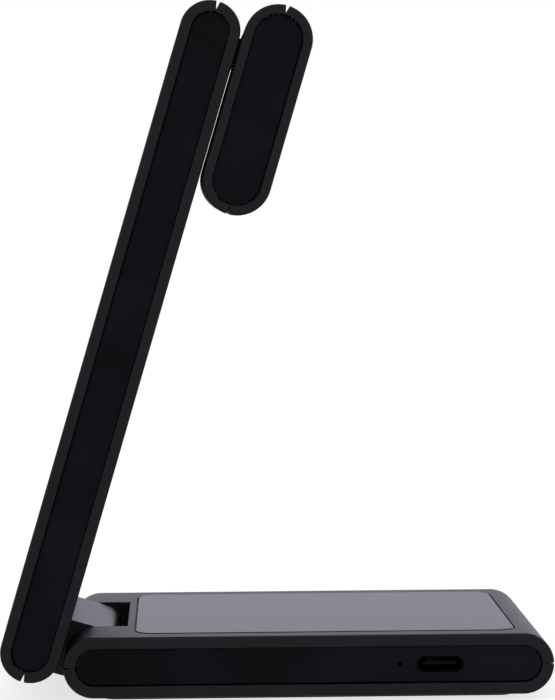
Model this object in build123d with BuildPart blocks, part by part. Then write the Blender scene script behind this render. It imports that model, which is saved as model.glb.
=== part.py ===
"""Folding three in one wireless charger: a base, a leaning phone upright and a watch pod.

Millimetres. The origin is on the surface that the charger stands on, under the middle of the base.
+X runs along the base to its free end, +Y away from the side with the charging port, +Z up.
"""

import os
from math import cos, radians, sin

from build123d import *

os.makedirs("parts", exist_ok=True)

# The three slabs
depth = 62.0
base_length = 98.5
base_thick = 12.3
upright_length = 140.9
upright_thick = 12.1
upright_lean = 16.5
pod_length = 42.9
pod_thick = 13.75

# How the slabs stand to each other
foot_proud = 1.2
fold_gap = 0.79
heel_drop = 6.64
pod_gap = 0.5
pod_rise = 3.05

# Shells, rims and parting lines
wall = 2.45
base_rim = 2.4
upright_rim = 2.2
pod_rim = 1.95
rim_round = 0.5
rim_inner_round = 0.2
parting_gap = 0.02
seam_width = 0.2
seam_depth = 0.6
base_groove = 0.45
upright_groove = 0.75
pod_groove = 0.75
groove_depth = 1.7
panel_thick = 1.5
panel_sink = 0.7
panel_fit = 0.12
ledge_height = 0.8
ledge_width = 1.2

# Inlays on the base and on the upright
pad_sink = 0.9
pad_proud = 0.1
pad_round = 4.0
pad_edge_round = 0.3
pad_line = 0.25
pad_side_margin = 4.3
base_pad_start = 14.2
base_pad_end = 6.95
phone_pad_end = 8.0

# Foot pad
foot_sink = 0.6
foot_side_margin = 5.5
foot_end_margin = 7.35
foot_round = 3.0
foot_notch_margin = 2.0

# Lower hinge
notch_width = 33.0
notch_reach = 6.57
hinge_side_gap = 0.3
cheek = 5.0
lower_pin_radius = 1.75
lower_bush_wall = 1.0
knuckle_head = 5.81
knuckle_heel = 5.74
knuckle_nose = 3.73
knuckle_round = 3.1

# Upper hinge
upper_pin_radius = 1.5
upper_bush_wall = 0.8
barrel_radius = 3.5
arm_top = 1.2
arm_bottom = 6.4
arm_gap = 0.5

# Hinge fits and knuckle flanges
pin_fit = 0.02
running_fit = 0.05
flange_thick = 1.6
flange_height = 6.0
flange_screw_spacing = 18.0
window_fit = 0.1

# Fasteners
post_radius = 2.6
screw_radius = 0.8
screw_head_radius = 1.7
screw_head_height = 1.1
screw_end_gap = 0.4
screw_pass_fit = 0.2
head_pass_fit = 0.2
peg_radius = 0.8
peg_length = 1.3
standoff_radius = 1.6

# Charging port and status light
port_end_margin = 22.95
port_width = 9.3
port_height = 3.2
port_shell_fit = 0.12
port_shell_wall = 0.3
port_shell_length = 7.3
port_shell_sink = 0.4
port_tongue_width = 6.7
port_tongue_height = 0.7
port_tongue_sink = 1.2
light_spacing = 8.1
light_radius = 0.5
light_fit = 0.05
light_pipe_length = 6.2
light_block = 2.0

# Coils, shields, magnets and boards
board_thick = 1.0
ferrite_thick = 0.8
earbud_coil_outer = 22.0
earbud_coil_inner = 10.0
earbud_coil_thick = 1.0
phone_coil_rise = 20.0
phone_coil_width = 11.0
phone_coil_gap = 2.0
phone_coil_thick = 1.2
magnet_count = 16
magnet_side_gap = 0.1
magnet_width = 4.0
magnet_thick = 1.2
magnet_gap = 0.6
puck_radius = 13.0
puck_shift = 0.5
puck_fit = 0.1
puck_flange = 1.0
puck_flange_thick = 0.8
puck_dish = 0.5
puck_edge_round = 0.4
watch_coil_outer = 11.0
watch_coil_inner = 5.4
watch_coil_thick = 1.0
watch_magnet_radius = 4.6
ballast_length = 36.0
ballast_post_gap = 0.9
ballast_thick = 1.5
ballast_notch_gap = 1.0
base_board_length = 20.0
base_board_depth = 26.0
base_board_edge_gap = 0.4
upright_board_length = 34.0
upright_board_margin = 11.0
upright_board_gap = 5.0
upright_board_lift = 2.0
pod_board_end = 5.95
pod_board_gap = 1.725
pod_board_margin = 12.0
pod_board_lift = 2.0
board_peg_margin = 2.6
chip_side = 5.0
chip_height = 0.9
choke_side = 4.0
choke_height = 1.4
board_part_spread = 4.0

# Places of the shell posts, measured from each slab's ends and sides
post_side_margin = 8.5
base_post_start = 19.5
base_post_end = 9.6
upright_post_bottom = 19.0
upright_post_top = 22.0
pod_post_bottom = 10.0
pod_post_top = 12.5


def side_view(x, z, lean):
    """Plane of a slab's side: x along the slab, y through its thickness, z towards the port side."""
    along = (sin(radians(lean)), 0, cos(radians(lean)))
    return Plane(origin=(x, 0, z), x_dir=along, z_dir=(0, -1, 0))


def shifted(side, along, through):
    """The same side plane, moved along the slab and through its thickness."""
    origin = side.from_local_coords((along, through, 0))
    return Plane(origin=origin, x_dir=side.x_dir, z_dir=side.z_dir)


def face_view(side):
    """Plane of a slab's broad face at mid thickness: x along the slab, y along +Y, z outwards."""
    return Plane(origin=side.origin, x_dir=side.x_dir, z_dir=side.y_dir)


def finish(piece, name):
    """Name a finished piece and write it."""
    piece.part.label = name
    export_step(piece.part, f"parts/{name}.step")


# Planes of the slabs, and of the two hinge axes
base_middle = foot_proud + base_thick / 2
hinge_x = -base_length / 2 + base_thick / 2
axis_to_back = base_thick / 2 + fold_gap
base_side = side_view(0, base_middle, 90)
base_face = face_view(base_side)
base_hinge = shifted(base_side, hinge_x, 0)
hinge_side = side_view(hinge_x, base_middle, upright_lean)
upright_side = shifted(hinge_side, upright_length / 2 - heel_drop, axis_to_back + upright_thick / 2)
upright_face = face_view(upright_side)
pod_top = upright_length - heel_drop + pod_rise
pod_middle = axis_to_back - pod_gap - pod_thick / 2
pod_side = shifted(hinge_side, pod_top - pod_length / 2, pod_middle)
pod_face = face_view(pod_side)
pod_hinge = shifted(hinge_side, pod_top - pod_thick / 2, pod_middle)

# Sizes that several pieces share
inside_base = base_thick / 2 - wall
inside_upright = upright_thick / 2 - wall
inside_pod = pod_thick / 2 - wall
panel_inner = depth / 2 - panel_sink - panel_thick
housing_half_width = notch_width / 2 + cheek
knuckle_width = notch_width - 2 * hinge_side_gap
pin_half_length = housing_half_width - cheek / 4
post_y = depth / 2 - post_side_margin


def tube(side, length, thick, rim, groove):
    """Shell of a slab before it is parted: rounded ends, rims, panel seats with ledges, and grooved tips."""
    with BuildPart() as shell:
        with BuildSketch(side):
            SlotOverall(length, thick)
        extrude(amount=depth / 2, both=True)
        rims = shell.faces().sort_by(Axis.Y)
        fillet(rims[0].edges() + rims[-1].edges(), rim_round)
        with BuildSketch(side):
            SlotOverall(length - 2 * wall, thick - 2 * wall)
        extrude(amount=depth / 2, both=True, mode=Mode.SUBTRACT)
        with BuildSketch(side.offset(panel_inner), side.offset(-depth / 2)):
            SlotOverall(length - 2 * rim, thick - 2 * rim)
        extrude(amount=depth / 2 - panel_inner, mode=Mode.SUBTRACT)
        rims = shell.faces().sort_by(Axis.Y)
        inner_edges = rims[0].inner_wires().edges() + rims[-1].inner_wires().edges()
        fillet(inner_edges, rim_inner_round)
        with BuildSketch(side.offset(panel_inner - ledge_width), side.offset(-panel_inner)):
            SlotOverall(length - 2 * wall, thick - 2 * wall)
            SlotOverall(
                length - 2 * (wall + ledge_height), thick - 2 * (wall + ledge_height), mode=Mode.SUBTRACT
            )
        extrude(amount=ledge_width)
        with BuildSketch(side):
            for end in (-1, 1):
                tip = end * length / 2
                with BuildLine():
                    Polyline(
                        (tip + end * groove_depth, groove),
                        (tip - end * groove_depth, 0),
                        (tip + end * groove_depth, -groove),
                        close=True,
                    )
                make_face()
        extrude(amount=depth / 2, both=True, mode=Mode.SUBTRACT)
        with BuildSketch(side.offset(depth / 2 - seam_depth), side.offset(-depth / 2)):
            Rectangle(length, seam_width)
        extrude(amount=seam_depth, mode=Mode.SUBTRACT)
    return shell.part


def part_shell(side, front):
    """Keep the front or the back half of the shell in work, split at mid thickness."""
    offset = parting_gap / 2 if front else -parting_gap / 2
    split(bisect_by=face_view(side).offset(offset), keep=Keep.TOP if front else Keep.BOTTOM)


def post_places(length, start, end):
    """Centres of the four shell posts on a slab's broad face."""
    low = -length / 2 + start
    high = length / 2 - end
    return [(x, y) for x in (low, high) for y in (-post_y, post_y)]


def add_posts(face, inside, places, front):
    """Posts from a half shell's broad wall to mid thickness."""
    reach = inside + wall / 2
    with BuildSketch(face) as outline:
        with Locations(*places):
            Circle(post_radius)
    extrude(outline.sketch, amount=reach if front else -reach)


def cut_round(face, start, end, radius, places):
    """Round holes between two heights over a slab's middle plane."""
    with BuildSketch(face.offset(start)) as outline:
        with Locations(*places):
            Circle(radius)
    extrude(outline.sketch, amount=end - start, mode=Mode.SUBTRACT)


def side_panel(side, length, thick, rim, near):
    """Plate with rounded ends that closes one side of a slab."""
    start = panel_inner if near else -panel_inner - panel_thick
    with BuildPart() as panel:
        with BuildSketch(side.offset(start)):
            SlotOverall(length - 2 * (rim + panel_fit), thick - 2 * (rim + panel_fit))
        extrude(amount=panel_thick)
    return panel


def outer_face(piece, face):
    """The face of a piece that lies furthest out over a slab's broad face."""
    return piece.faces().sort_by(Axis(face.origin, face.z_dir))[-1]


def inlay(face, outside, length, width, shift):
    """Smooth inlay with softened upper edges, sunk into a broad face."""
    with BuildPart() as pad:
        with BuildSketch(face.offset(outside - pad_sink)):
            with Locations((shift, 0)):
                RectangleRounded(length - 2 * pad_line, width - 2 * pad_line, pad_round - pad_line)
        extrude(amount=pad_sink + pad_proud)
        fillet(outer_face(pad, face).edges(), pad_edge_round)
    return pad


def cut_inlay_seat(face, outside, length, width, shift):
    """Seat of an inlay in the half shell in work."""
    with BuildSketch(face.offset(outside - pad_sink)) as outline:
        with Locations((shift, 0)):
            RectangleRounded(length, width, pad_round)
    extrude(outline.sketch, amount=2 * pad_sink, mode=Mode.SUBTRACT)


def ring(face, start, thick, outer, inner, shift):
    """Flat ring on a slab's broad face, such as a coil."""
    with BuildPart() as flat:
        with BuildSketch(face.offset(start)):
            with Locations((shift, 0)):
                Circle(outer)
                Circle(inner, mode=Mode.SUBTRACT)
        extrude(amount=thick)
    return flat


def disc(face, start, thick, radius, shift):
    """Flat disc on a slab's broad face, such as a shield."""
    with BuildPart() as flat:
        with BuildSketch(face.offset(start)):
            with Locations((shift, 0)):
                Circle(radius)
        extrude(amount=thick)
    return flat


def board_corners(length, width, centre):
    """Places of the pegs that hold a circuit board."""
    x = length / 2 - board_peg_margin
    y = width / 2 - board_peg_margin
    return [(centre[0] + i * x, centre[1] + j * y) for i in (-1, 1) for j in (-1, 1)]


def circuit_board(face, start, length, width, centre):
    """Circuit board with its four peg holes."""
    with BuildPart() as board:
        with BuildSketch(face.offset(start)):
            with Locations(centre):
                Rectangle(length, width)
            with Locations(*board_corners(length, width, centre)):
                Circle(peg_radius + screw_pass_fit, mode=Mode.SUBTRACT)
        extrude(amount=board_thick)
    return board


def add_standoffs(face, wall_height, board_height, places, upwards):
    """Standoffs from a broad wall to a circuit board, each with a peg that locates the board."""
    sign = 1 if upwards else -1
    root = wall_height - sign * wall / 2
    with BuildSketch(face.offset(root)) as standoffs:
        with Locations(*places):
            Circle(standoff_radius)
    extrude(standoffs.sketch, amount=board_height - root)
    with BuildSketch(face.offset(board_height)) as pegs:
        with Locations(*places):
            Circle(peg_radius)
    extrude(pegs.sketch, amount=sign * peg_length)


def board_parts(face, start, centre, outwards):
    """Two chips and two chokes, soldered crosswise about a board's centre."""
    sign = 1 if outwards else -1
    with BuildPart() as parts:
        for slope, side, height in ((1, chip_side, chip_height), (-1, choke_side, choke_height)):
            with BuildSketch(face.offset(start)):
                for end in (-board_part_spread, board_part_spread):
                    with Locations((centre[0] + end, centre[1] + slope * end)):
                        Rectangle(side, side)
            extrude(amount=sign * height)
    return parts


def screws(face, places, head_height, tip_height):
    """Screws along a slab's thickness: head seat and tip given as heights over its middle plane."""
    sign = 1 if head_height > tip_height else -1
    with BuildPart() as group:
        with BuildSketch(face.offset(head_height)):
            with Locations(*places):
                Circle(screw_head_radius)
        extrude(amount=sign * screw_head_height)
        with BuildSketch(face.offset(tip_height)):
            with Locations(*places):
                Circle(screw_radius)
        extrude(amount=head_height - tip_height)
    return group


def pin(side, radius):
    """Hinge axle, centred across the charger."""
    with BuildPart() as axle:
        with BuildSketch(side):
            Circle(radius)
        extrude(amount=pin_half_length, both=True)
        chamfer(axle.edges().filter_by(GeomType.CIRCLE), radius / 5)
    return axle


def bush(side, pin_radius, bush_wall):
    """Friction bush in a knuckle's bore."""
    with BuildPart() as sleeve:
        with BuildSketch(side):
            Circle(pin_radius + running_fit + bush_wall)
            Circle(pin_radius + running_fit, mode=Mode.SUBTRACT)
        extrude(amount=knuckle_width / 2, both=True)
    return sleeve


def cut_bore(side, radius):
    """Bore for a hinge axle or its bush, through the piece in work."""
    with BuildSketch(side) as outline:
        Circle(radius)
    extrude(outline.sketch, amount=pin_half_length, both=True, mode=Mode.SUBTRACT)


# Base: shells
base_pad_length = base_length - base_pad_start - base_pad_end
base_pad_shift = (base_pad_start - base_pad_end) / 2
pad_width = depth - 2 * pad_side_margin
notch_wall_x = hinge_x + notch_reach
foot_length = base_length - 2 * foot_end_margin
foot_width = depth - 2 * foot_side_margin
base_posts = post_places(base_length, base_post_start, base_post_end)
port_shell_width = port_width - 2 * port_shell_fit
port_shell_height = port_height - 2 * port_shell_fit
port_x = base_length / 2 - port_end_margin
light_x = port_x - light_spacing
board_top = -port_shell_height / 2
base_board_centre = (port_x, -panel_inner + base_board_edge_gap + base_board_depth / 2)
base_pegs = board_corners(base_board_length, base_board_depth, base_board_centre)


def base_body():
    """Both halves of the base in one, with the hinge notch between two solid cheeks."""
    with BuildPart() as body:
        add(tube(base_side, base_length, base_thick, base_rim, base_groove))
        housing_end = notch_wall_x + wall
        housing_start = -base_length / 2
        with BuildSketch(base_side):
            SlotOverall(base_length - 2 * wall, base_thick - 2 * wall)
            with Locations(((housing_start + housing_end) / 2, 0)):
                Rectangle(housing_end - housing_start, base_thick, mode=Mode.INTERSECT)
        extrude(amount=housing_half_width, both=True)
        with BuildSketch(base_side):
            with Locations((notch_wall_x - base_length / 2, 0)):
                Rectangle(base_length, 2 * base_thick)
        extrude(amount=notch_width / 2, both=True, mode=Mode.SUBTRACT)
        cut_bore(base_hinge, lower_pin_radius + pin_fit)
    return body.part


def foot_outline(margin):
    """Outline of the foot pad, cut back round the hinge notch."""
    RectangleRounded(foot_length + 2 * margin, foot_width + 2 * margin, foot_round + margin)
    notch_end = notch_wall_x + foot_notch_margin - margin
    with Locations((notch_end - base_length / 2, 0)):
        Rectangle(base_length, notch_width + 2 * (foot_notch_margin - margin), mode=Mode.SUBTRACT)


head_seat = -base_thick / 2 + foot_sink + screw_head_height + screw_end_gap

with BuildPart() as base_lower_shell:
    add(base_body())
    part_shell(base_side, front=False)
    add_posts(base_face, inside_base, base_posts, front=False)
    add_standoffs(base_face, -inside_base, board_top - board_thick, base_pegs, upwards=True)
    with BuildSketch(base_face.offset(-base_thick / 2 + foot_sink)):
        foot_outline(pad_line)
    extrude(amount=-2 * foot_sink, mode=Mode.SUBTRACT)
    cut_round(base_face, -base_thick / 2, head_seat, screw_head_radius + head_pass_fit, base_posts)
    cut_round(base_face, head_seat, 0, screw_radius + screw_pass_fit, base_posts)
finish(base_lower_shell, "base_lower_shell")

with BuildPart() as base_upper_shell:
    add(base_body())
    part_shell(base_side, front=True)
    add_posts(base_face, inside_base, base_posts, front=True)
    cut_inlay_seat(base_face, base_thick / 2, base_pad_length, pad_width, base_pad_shift)
    cut_round(base_face, 0, inside_base - screw_end_gap, screw_radius + pin_fit, base_posts)
finish(base_upper_shell, "base_upper_shell")

# Base: outside pieces
with BuildPart() as base_near_panel:
    add(side_panel(base_side, base_length, base_thick, base_rim, near=True).part)
    with BuildSketch(base_side.offset(panel_inner)):
        with Locations((port_x, 0)):
            SlotOverall(port_width, port_height)
        with Locations((light_x, 0)):
            Circle(light_radius + light_fit)
    extrude(amount=panel_thick, mode=Mode.SUBTRACT)
finish(base_near_panel, "base_near_panel")

base_far_panel = side_panel(base_side, base_length, base_thick, base_rim, near=False)
finish(base_far_panel, "base_far_panel")

earbud_pad = inlay(base_face, base_thick / 2, base_pad_length, pad_width, base_pad_shift)
finish(earbud_pad, "earbud_pad")

with BuildPart() as foot_pad:
    with BuildSketch(Plane.XY):
        foot_outline(0)
    extrude(amount=foot_sink + foot_proud)
finish(foot_pad, "foot_pad")

# Base: charging port and status light
with BuildPart() as port_shell:
    with BuildSketch(base_side.offset(depth / 2 - panel_sink - port_shell_sink)):
        with Locations((port_x, 0)):
            SlotOverall(port_shell_width, port_shell_height)
    extrude(amount=-port_shell_length)
    with BuildSketch(base_side.offset(depth / 2 - panel_sink - port_shell_sink)):
        with Locations((port_x, 0)):
            SlotOverall(port_shell_width - 2 * port_shell_wall, port_shell_height - 2 * port_shell_wall)
    extrude(amount=-(port_shell_length - 2 * port_shell_wall), mode=Mode.SUBTRACT)
finish(port_shell, "port_shell")

with BuildPart() as port_tongue:
    tongue_length = port_shell_length - 2 * port_shell_wall - port_tongue_sink
    with BuildSketch(base_side.offset(depth / 2 - panel_sink - port_shell_sink - port_tongue_sink)):
        with Locations((port_x, 0)):
            RectangleRounded(port_tongue_width, port_tongue_height, port_tongue_height / 4)
    extrude(amount=-tongue_length)
finish(port_tongue, "port_tongue")

with BuildPart() as light_pipe:
    with BuildSketch(base_side.offset(depth / 2 - panel_sink - light_fit)):
        with Locations((light_x, 0)):
            Circle(light_radius)
    extrude(amount=-light_pipe_length)
    with BuildSketch(base_side.offset(depth / 2 - panel_sink - light_pipe_length)):
        with Locations((light_x, (board_top + light_radius) / 2)):
            Rectangle(light_block, light_radius - board_top)
    extrude(amount=-light_block)
finish(light_pipe, "light_pipe")

# Base: what works inside
earbud_coil = ring(
    base_face, inside_base - earbud_coil_thick, earbud_coil_thick, earbud_coil_outer, earbud_coil_inner,
    base_pad_shift,
)
finish(earbud_coil, "earbud_coil")

earbud_ferrite = disc(
    base_face, inside_base - earbud_coil_thick - ferrite_thick, ferrite_thick, earbud_coil_outer,
    base_pad_shift,
)
finish(earbud_ferrite, "earbud_ferrite")

base_circuit_board = circuit_board(
    base_face, board_top - board_thick, base_board_length, base_board_depth, base_board_centre
)
finish(base_circuit_board, "base_circuit_board")

base_board_parts = board_parts(base_face, board_top, base_board_centre, outwards=True)
finish(base_board_parts, "base_board_parts")

with BuildPart() as ballast_plate:
    ballast_x = notch_wall_x + wall + ballast_notch_gap + ballast_length / 2
    ballast_depth = 2 * (post_y - post_radius - ballast_post_gap)
    with BuildSketch(base_face.offset(-inside_base)):
        with Locations((ballast_x, 0)):
            Rectangle(ballast_length, ballast_depth)
    extrude(amount=ballast_thick)
finish(ballast_plate, "ballast_plate")

base_screws = screws(base_face, base_posts, head_seat, inside_base - 2 * screw_end_gap)
finish(base_screws, "base_screws")

lower_hinge_pin = pin(base_hinge, lower_pin_radius)
finish(lower_hinge_pin, "lower_hinge_pin")

# Upright: shells
phone_pad_length = upright_length - 2 * phone_pad_end
upright_posts = post_places(upright_length, upright_post_bottom, upright_post_top)
upright_seat = upright_thick / 2 - pad_sink - screw_head_height - screw_end_gap
upright_board_top = -inside_upright + upright_board_lift + board_thick
upright_board_depth = depth - 2 * upright_board_margin
flange_front = axis_to_back + wall + flange_thick
lower_flange_x = knuckle_head + flange_height / 2
upper_flange_x = -arm_bottom - flange_height / 2
flange_screw_y = [-flange_screw_spacing / 2, flange_screw_spacing / 2]
heel_x = -upright_length / 2 + heel_drop
upright_board_start = heel_x + knuckle_head + flange_height + upright_board_gap
upright_board_centre = (upright_board_start + upright_board_length / 2, 0)
upright_pegs = board_corners(upright_board_length, upright_board_depth, upright_board_centre)
pod_axis_x = heel_x + pod_top - pod_thick / 2
flange_screws = [(heel_x + lower_flange_x, y) for y in flange_screw_y]
flange_screws += [(pod_axis_x + upper_flange_x, y) for y in flange_screw_y]
flange_top = -inside_upright + flange_thick
back_wall = -upright_thick / 2
flange_screw_tip = back_wall + screw_end_gap

with BuildPart() as upright_front_shell:
    add(tube(upright_side, upright_length, upright_thick, upright_rim, upright_groove))
    part_shell(upright_side, front=True)
    add_posts(upright_face, inside_upright, upright_posts, front=True)
    cut_inlay_seat(upright_face, upright_thick / 2, phone_pad_length, pad_width, 0)
    cut_round(
        upright_face, upright_seat, upright_thick / 2, screw_head_radius + head_pass_fit, upright_posts
    )
    cut_round(upright_face, 0, upright_seat, screw_radius + screw_pass_fit, upright_posts)
finish(upright_front_shell, "upright_front_shell")

with BuildPart() as upright_back_shell:
    add(tube(upright_side, upright_length, upright_thick, upright_rim, upright_groove))
    part_shell(upright_side, front=False)
    add_posts(upright_face, inside_upright, upright_posts, front=False)
    add_standoffs(
        upright_face, -inside_upright, upright_board_top - board_thick, upright_pegs, upwards=True
    )
    cut_round(upright_face, -inside_upright + screw_end_gap, 0, screw_radius + pin_fit, upright_posts)
    cut_round(upright_face, flange_screw_tip, -inside_upright, screw_radius + pin_fit, flange_screws)
    lower_window = knuckle_head + window_fit
    with BuildSketch(hinge_side):
        with Locations((lower_window - upright_length / 2, axis_to_back)):
            Rectangle(upright_length, 2 * upright_thick)
    extrude(amount=knuckle_width / 2 + window_fit, both=True, mode=Mode.SUBTRACT)
    upper_window = arm_bottom - arm_top + 2 * window_fit
    with BuildSketch(pod_hinge):
        with Locations((-(arm_bottom + arm_top) / 2, axis_to_back - pod_middle)):
            Rectangle(upper_window, 4 * wall)
    extrude(amount=knuckle_width / 2 + window_fit, both=True, mode=Mode.SUBTRACT)
finish(upright_back_shell, "upright_back_shell")

# Upright: outside pieces
upright_near_panel = side_panel(upright_side, upright_length, upright_thick, upright_rim, near=True)
finish(upright_near_panel, "upright_near_panel")

upright_far_panel = side_panel(upright_side, upright_length, upright_thick, upright_rim, near=False)
finish(upright_far_panel, "upright_far_panel")

phone_pad = inlay(upright_face, upright_thick / 2, phone_pad_length, pad_width, 0)
finish(phone_pad, "phone_pad")

# Upright: the two knuckles, with their bushes and screws
lower_bush_radius = lower_pin_radius + running_fit + lower_bush_wall
upper_bush_radius = upper_pin_radius + running_fit + upper_bush_wall
mid_upright = axis_to_back + upright_thick / 2

with BuildPart() as lower_knuckle:
    heel_centre = upright_thick / 2 - heel_drop
    with BuildSketch(hinge_side):
        block_end = mid_upright - parting_gap
        with Locations(((knuckle_head - knuckle_heel) / 2, (block_end - knuckle_nose) / 2)):
            block = Rectangle(knuckle_head + knuckle_heel, block_end + knuckle_nose)
        fillet(block.vertices().sort_by(Axis(hinge_side.origin, hinge_side.y_dir))[:2], knuckle_round)
        with Locations((heel_centre, mid_upright)):
            Circle(upright_thick / 2)
        with Locations((0, block_end + upright_thick)):
            Rectangle(upright_length, 2 * upright_thick, mode=Mode.SUBTRACT)
    extrude(amount=knuckle_width / 2, both=True)
    with BuildSketch(hinge_side):
        with Locations((lower_flange_x, flange_front - flange_thick / 2)):
            Rectangle(flange_height, flange_thick)
    extrude(amount=knuckle_width / 2, both=True)
    cut_bore(hinge_side, lower_bush_radius + pin_fit)
    cut_round(upright_face, -inside_upright, 0, screw_radius + screw_pass_fit, flange_screws[:2])
finish(lower_knuckle, "lower_knuckle")

with BuildPart() as upper_knuckle:
    arm_root = axis_to_back - pod_middle + wall
    arm_neck = inside_pod - arm_gap
    with BuildSketch(pod_hinge):
        Circle(barrel_radius)
        with BuildLine():
            Polyline((-arm_top, arm_neck), (-arm_bottom, arm_neck), (0, 0), close=True)
        make_face()
        make_hull()
        with Locations((-(arm_top + arm_bottom) / 2, (arm_neck + arm_root) / 2)):
            Rectangle(arm_bottom - arm_top, arm_root - arm_neck)
    extrude(amount=knuckle_width / 2, both=True)
    with BuildSketch(pod_hinge):
        with Locations((-(arm_top + arm_bottom + flange_height) / 2, arm_root + flange_thick / 2)):
            Rectangle(arm_bottom - arm_top + flange_height, flange_thick)
    extrude(amount=knuckle_width / 2, both=True)
    cut_bore(pod_hinge, upper_bush_radius + pin_fit)
    cut_round(upright_face, -inside_upright, 0, screw_radius + screw_pass_fit, flange_screws[2:])
finish(upper_knuckle, "upper_knuckle")

lower_friction_bush = bush(hinge_side, lower_pin_radius, lower_bush_wall)
finish(lower_friction_bush, "lower_friction_bush")

upper_friction_bush = bush(pod_hinge, upper_pin_radius, upper_bush_wall)
finish(upper_friction_bush, "upper_friction_bush")

knuckle_screws = screws(upright_face, flange_screws, flange_top, flange_screw_tip + screw_end_gap)
finish(knuckle_screws, "knuckle_screws")

upright_screws = screws(upright_face, upright_posts, upright_seat, -inside_upright + 2 * screw_end_gap)
finish(upright_screws, "upright_screws")

# Upright: what works inside
magnet_outer = panel_inner - ledge_width - magnet_side_gap
magnet_inner = magnet_outer - magnet_width
phone_coil_outer = magnet_inner - phone_coil_gap
phone_coil_inner = phone_coil_outer - phone_coil_width

phone_coil = ring(
    upright_face, inside_upright - phone_coil_thick, phone_coil_thick, phone_coil_outer, phone_coil_inner,
    phone_coil_rise,
)
finish(phone_coil, "phone_coil")

phone_ferrite = disc(
    upright_face, inside_upright - phone_coil_thick - ferrite_thick, ferrite_thick, phone_coil_outer,
    phone_coil_rise,
)
finish(phone_ferrite, "phone_ferrite")

with BuildPart() as phone_magnets:
    with BuildSketch(upright_face.offset(inside_upright - magnet_thick)):
        with Locations((phone_coil_rise, 0)):
            Circle(magnet_outer)
            Circle(magnet_inner, mode=Mode.SUBTRACT)
            with PolarLocations(magnet_outer / 2, magnet_count):
                Rectangle(2 * magnet_outer, magnet_gap, mode=Mode.SUBTRACT)
    extrude(amount=magnet_thick)
finish(phone_magnets, "phone_magnets")

upright_circuit_board = circuit_board(
    upright_face, upright_board_top - board_thick, upright_board_length, upright_board_depth,
    upright_board_centre,
)
finish(upright_circuit_board, "upright_circuit_board")

upright_board_parts = board_parts(upright_face, upright_board_top, upright_board_centre, outwards=True)
finish(upright_board_parts, "upright_board_parts")

# Watch pod: shells
pod_posts = post_places(pod_length, pod_post_bottom, pod_post_top)
pod_axis = pod_length / 2 - pod_thick / 2
pod_notch_x = pod_axis - arm_bottom - arm_gap
pod_board_start = inside_pod - pod_board_lift - board_thick
pod_board_depth = depth - 2 * pod_board_margin
pod_board_low = -pod_length / 2 + pod_board_end
pod_board_high = pod_notch_x - wall - pod_board_gap
pod_board_length = pod_board_high - pod_board_low
pod_board_centre = ((pod_board_low + pod_board_high) / 2, 0)
pod_pegs = board_corners(pod_board_length, pod_board_depth, pod_board_centre)


def pod_body():
    """Both halves of the pod in one, with the cheeks that hold the hinge axle."""
    with BuildPart() as body:
        add(tube(pod_side, pod_length, pod_thick, pod_rim, pod_groove))
        cheek_start = pod_axis - inside_pod
        for offset in (notch_width / 2, -housing_half_width):
            with BuildSketch(pod_side.offset(offset)):
                SlotOverall(pod_length - 2 * wall, pod_thick - 2 * wall)
                with Locations((cheek_start + pod_length / 2, 0)):
                    Rectangle(pod_length, pod_thick, mode=Mode.INTERSECT)
            extrude(amount=cheek)
        cut_bore(pod_hinge, upper_pin_radius + pin_fit)
    return body.part


with BuildPart() as pod_inner_shell:
    add(pod_body())
    part_shell(pod_side, front=True)
    with BuildSketch(pod_side):
        with Locations((pod_notch_x - wall / 2, inside_pod / 2)):
            Rectangle(wall, inside_pod)
    extrude(amount=housing_half_width, both=True)
    with BuildSketch(pod_side):
        with Locations((pod_notch_x + pod_length / 2, 0)):
            Rectangle(pod_length, 2 * pod_thick)
    extrude(amount=notch_width / 2, both=True, mode=Mode.SUBTRACT)
    add_posts(pod_face, inside_pod, pod_posts, front=True)
    cut_round(pod_face, 0, peg_length + screw_end_gap, peg_radius + pin_fit, pod_posts)
    add_standoffs(pod_face, inside_pod, pod_board_start + board_thick, pod_pegs, upwards=False)
finish(pod_inner_shell, "pod_inner_shell")

with BuildPart() as pod_outer_shell:
    add(pod_body())
    part_shell(pod_side, front=False)
    add_posts(pod_face, inside_pod, pod_posts, front=False)
    with BuildSketch(pod_face):
        with Locations(*pod_posts):
            Circle(peg_radius)
    extrude(amount=peg_length)
    cut_round(pod_face, -pod_thick, 0, puck_radius + puck_fit, [(-puck_shift, 0)])
finish(pod_outer_shell, "pod_outer_shell")

# Watch pod: outside pieces
pod_near_panel = side_panel(pod_side, pod_length, pod_thick, pod_rim, near=True)
finish(pod_near_panel, "pod_near_panel")

pod_far_panel = side_panel(pod_side, pod_length, pod_thick, pod_rim, near=False)
finish(pod_far_panel, "pod_far_panel")

# Watch pod: charging dish and what works behind it
puck_back = -inside_pod + puck_flange_thick
dish_radius = (puck_radius**2 + puck_dish**2) / (2 * puck_dish)

with BuildPart() as watch_puck:
    with BuildSketch(pod_face.offset(-pod_thick / 2)):
        with Locations((-puck_shift, 0)):
            Circle(puck_radius)
    extrude(amount=pod_thick / 2 + puck_back)
    fillet(watch_puck.faces().sort_by(Axis(pod_face.origin, pod_face.z_dir))[0].edges(), puck_edge_round)
    with BuildSketch(pod_face.offset(-inside_pod)):
        with Locations((-puck_shift, 0)):
            Circle(puck_radius + puck_flange)
    extrude(amount=puck_flange_thick)
    dish_centre = pod_face.from_local_coords((-puck_shift, 0, -pod_thick / 2 - dish_radius + puck_dish))
    with Locations(dish_centre):
        Sphere(dish_radius, mode=Mode.SUBTRACT)
finish(watch_puck, "watch_puck")

watch_coil = ring(pod_face, puck_back, watch_coil_thick, watch_coil_outer, watch_coil_inner, -puck_shift)
finish(watch_coil, "watch_coil")

watch_magnet = disc(pod_face, puck_back, watch_coil_thick, watch_magnet_radius, -puck_shift)
finish(watch_magnet, "watch_magnet")

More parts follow.
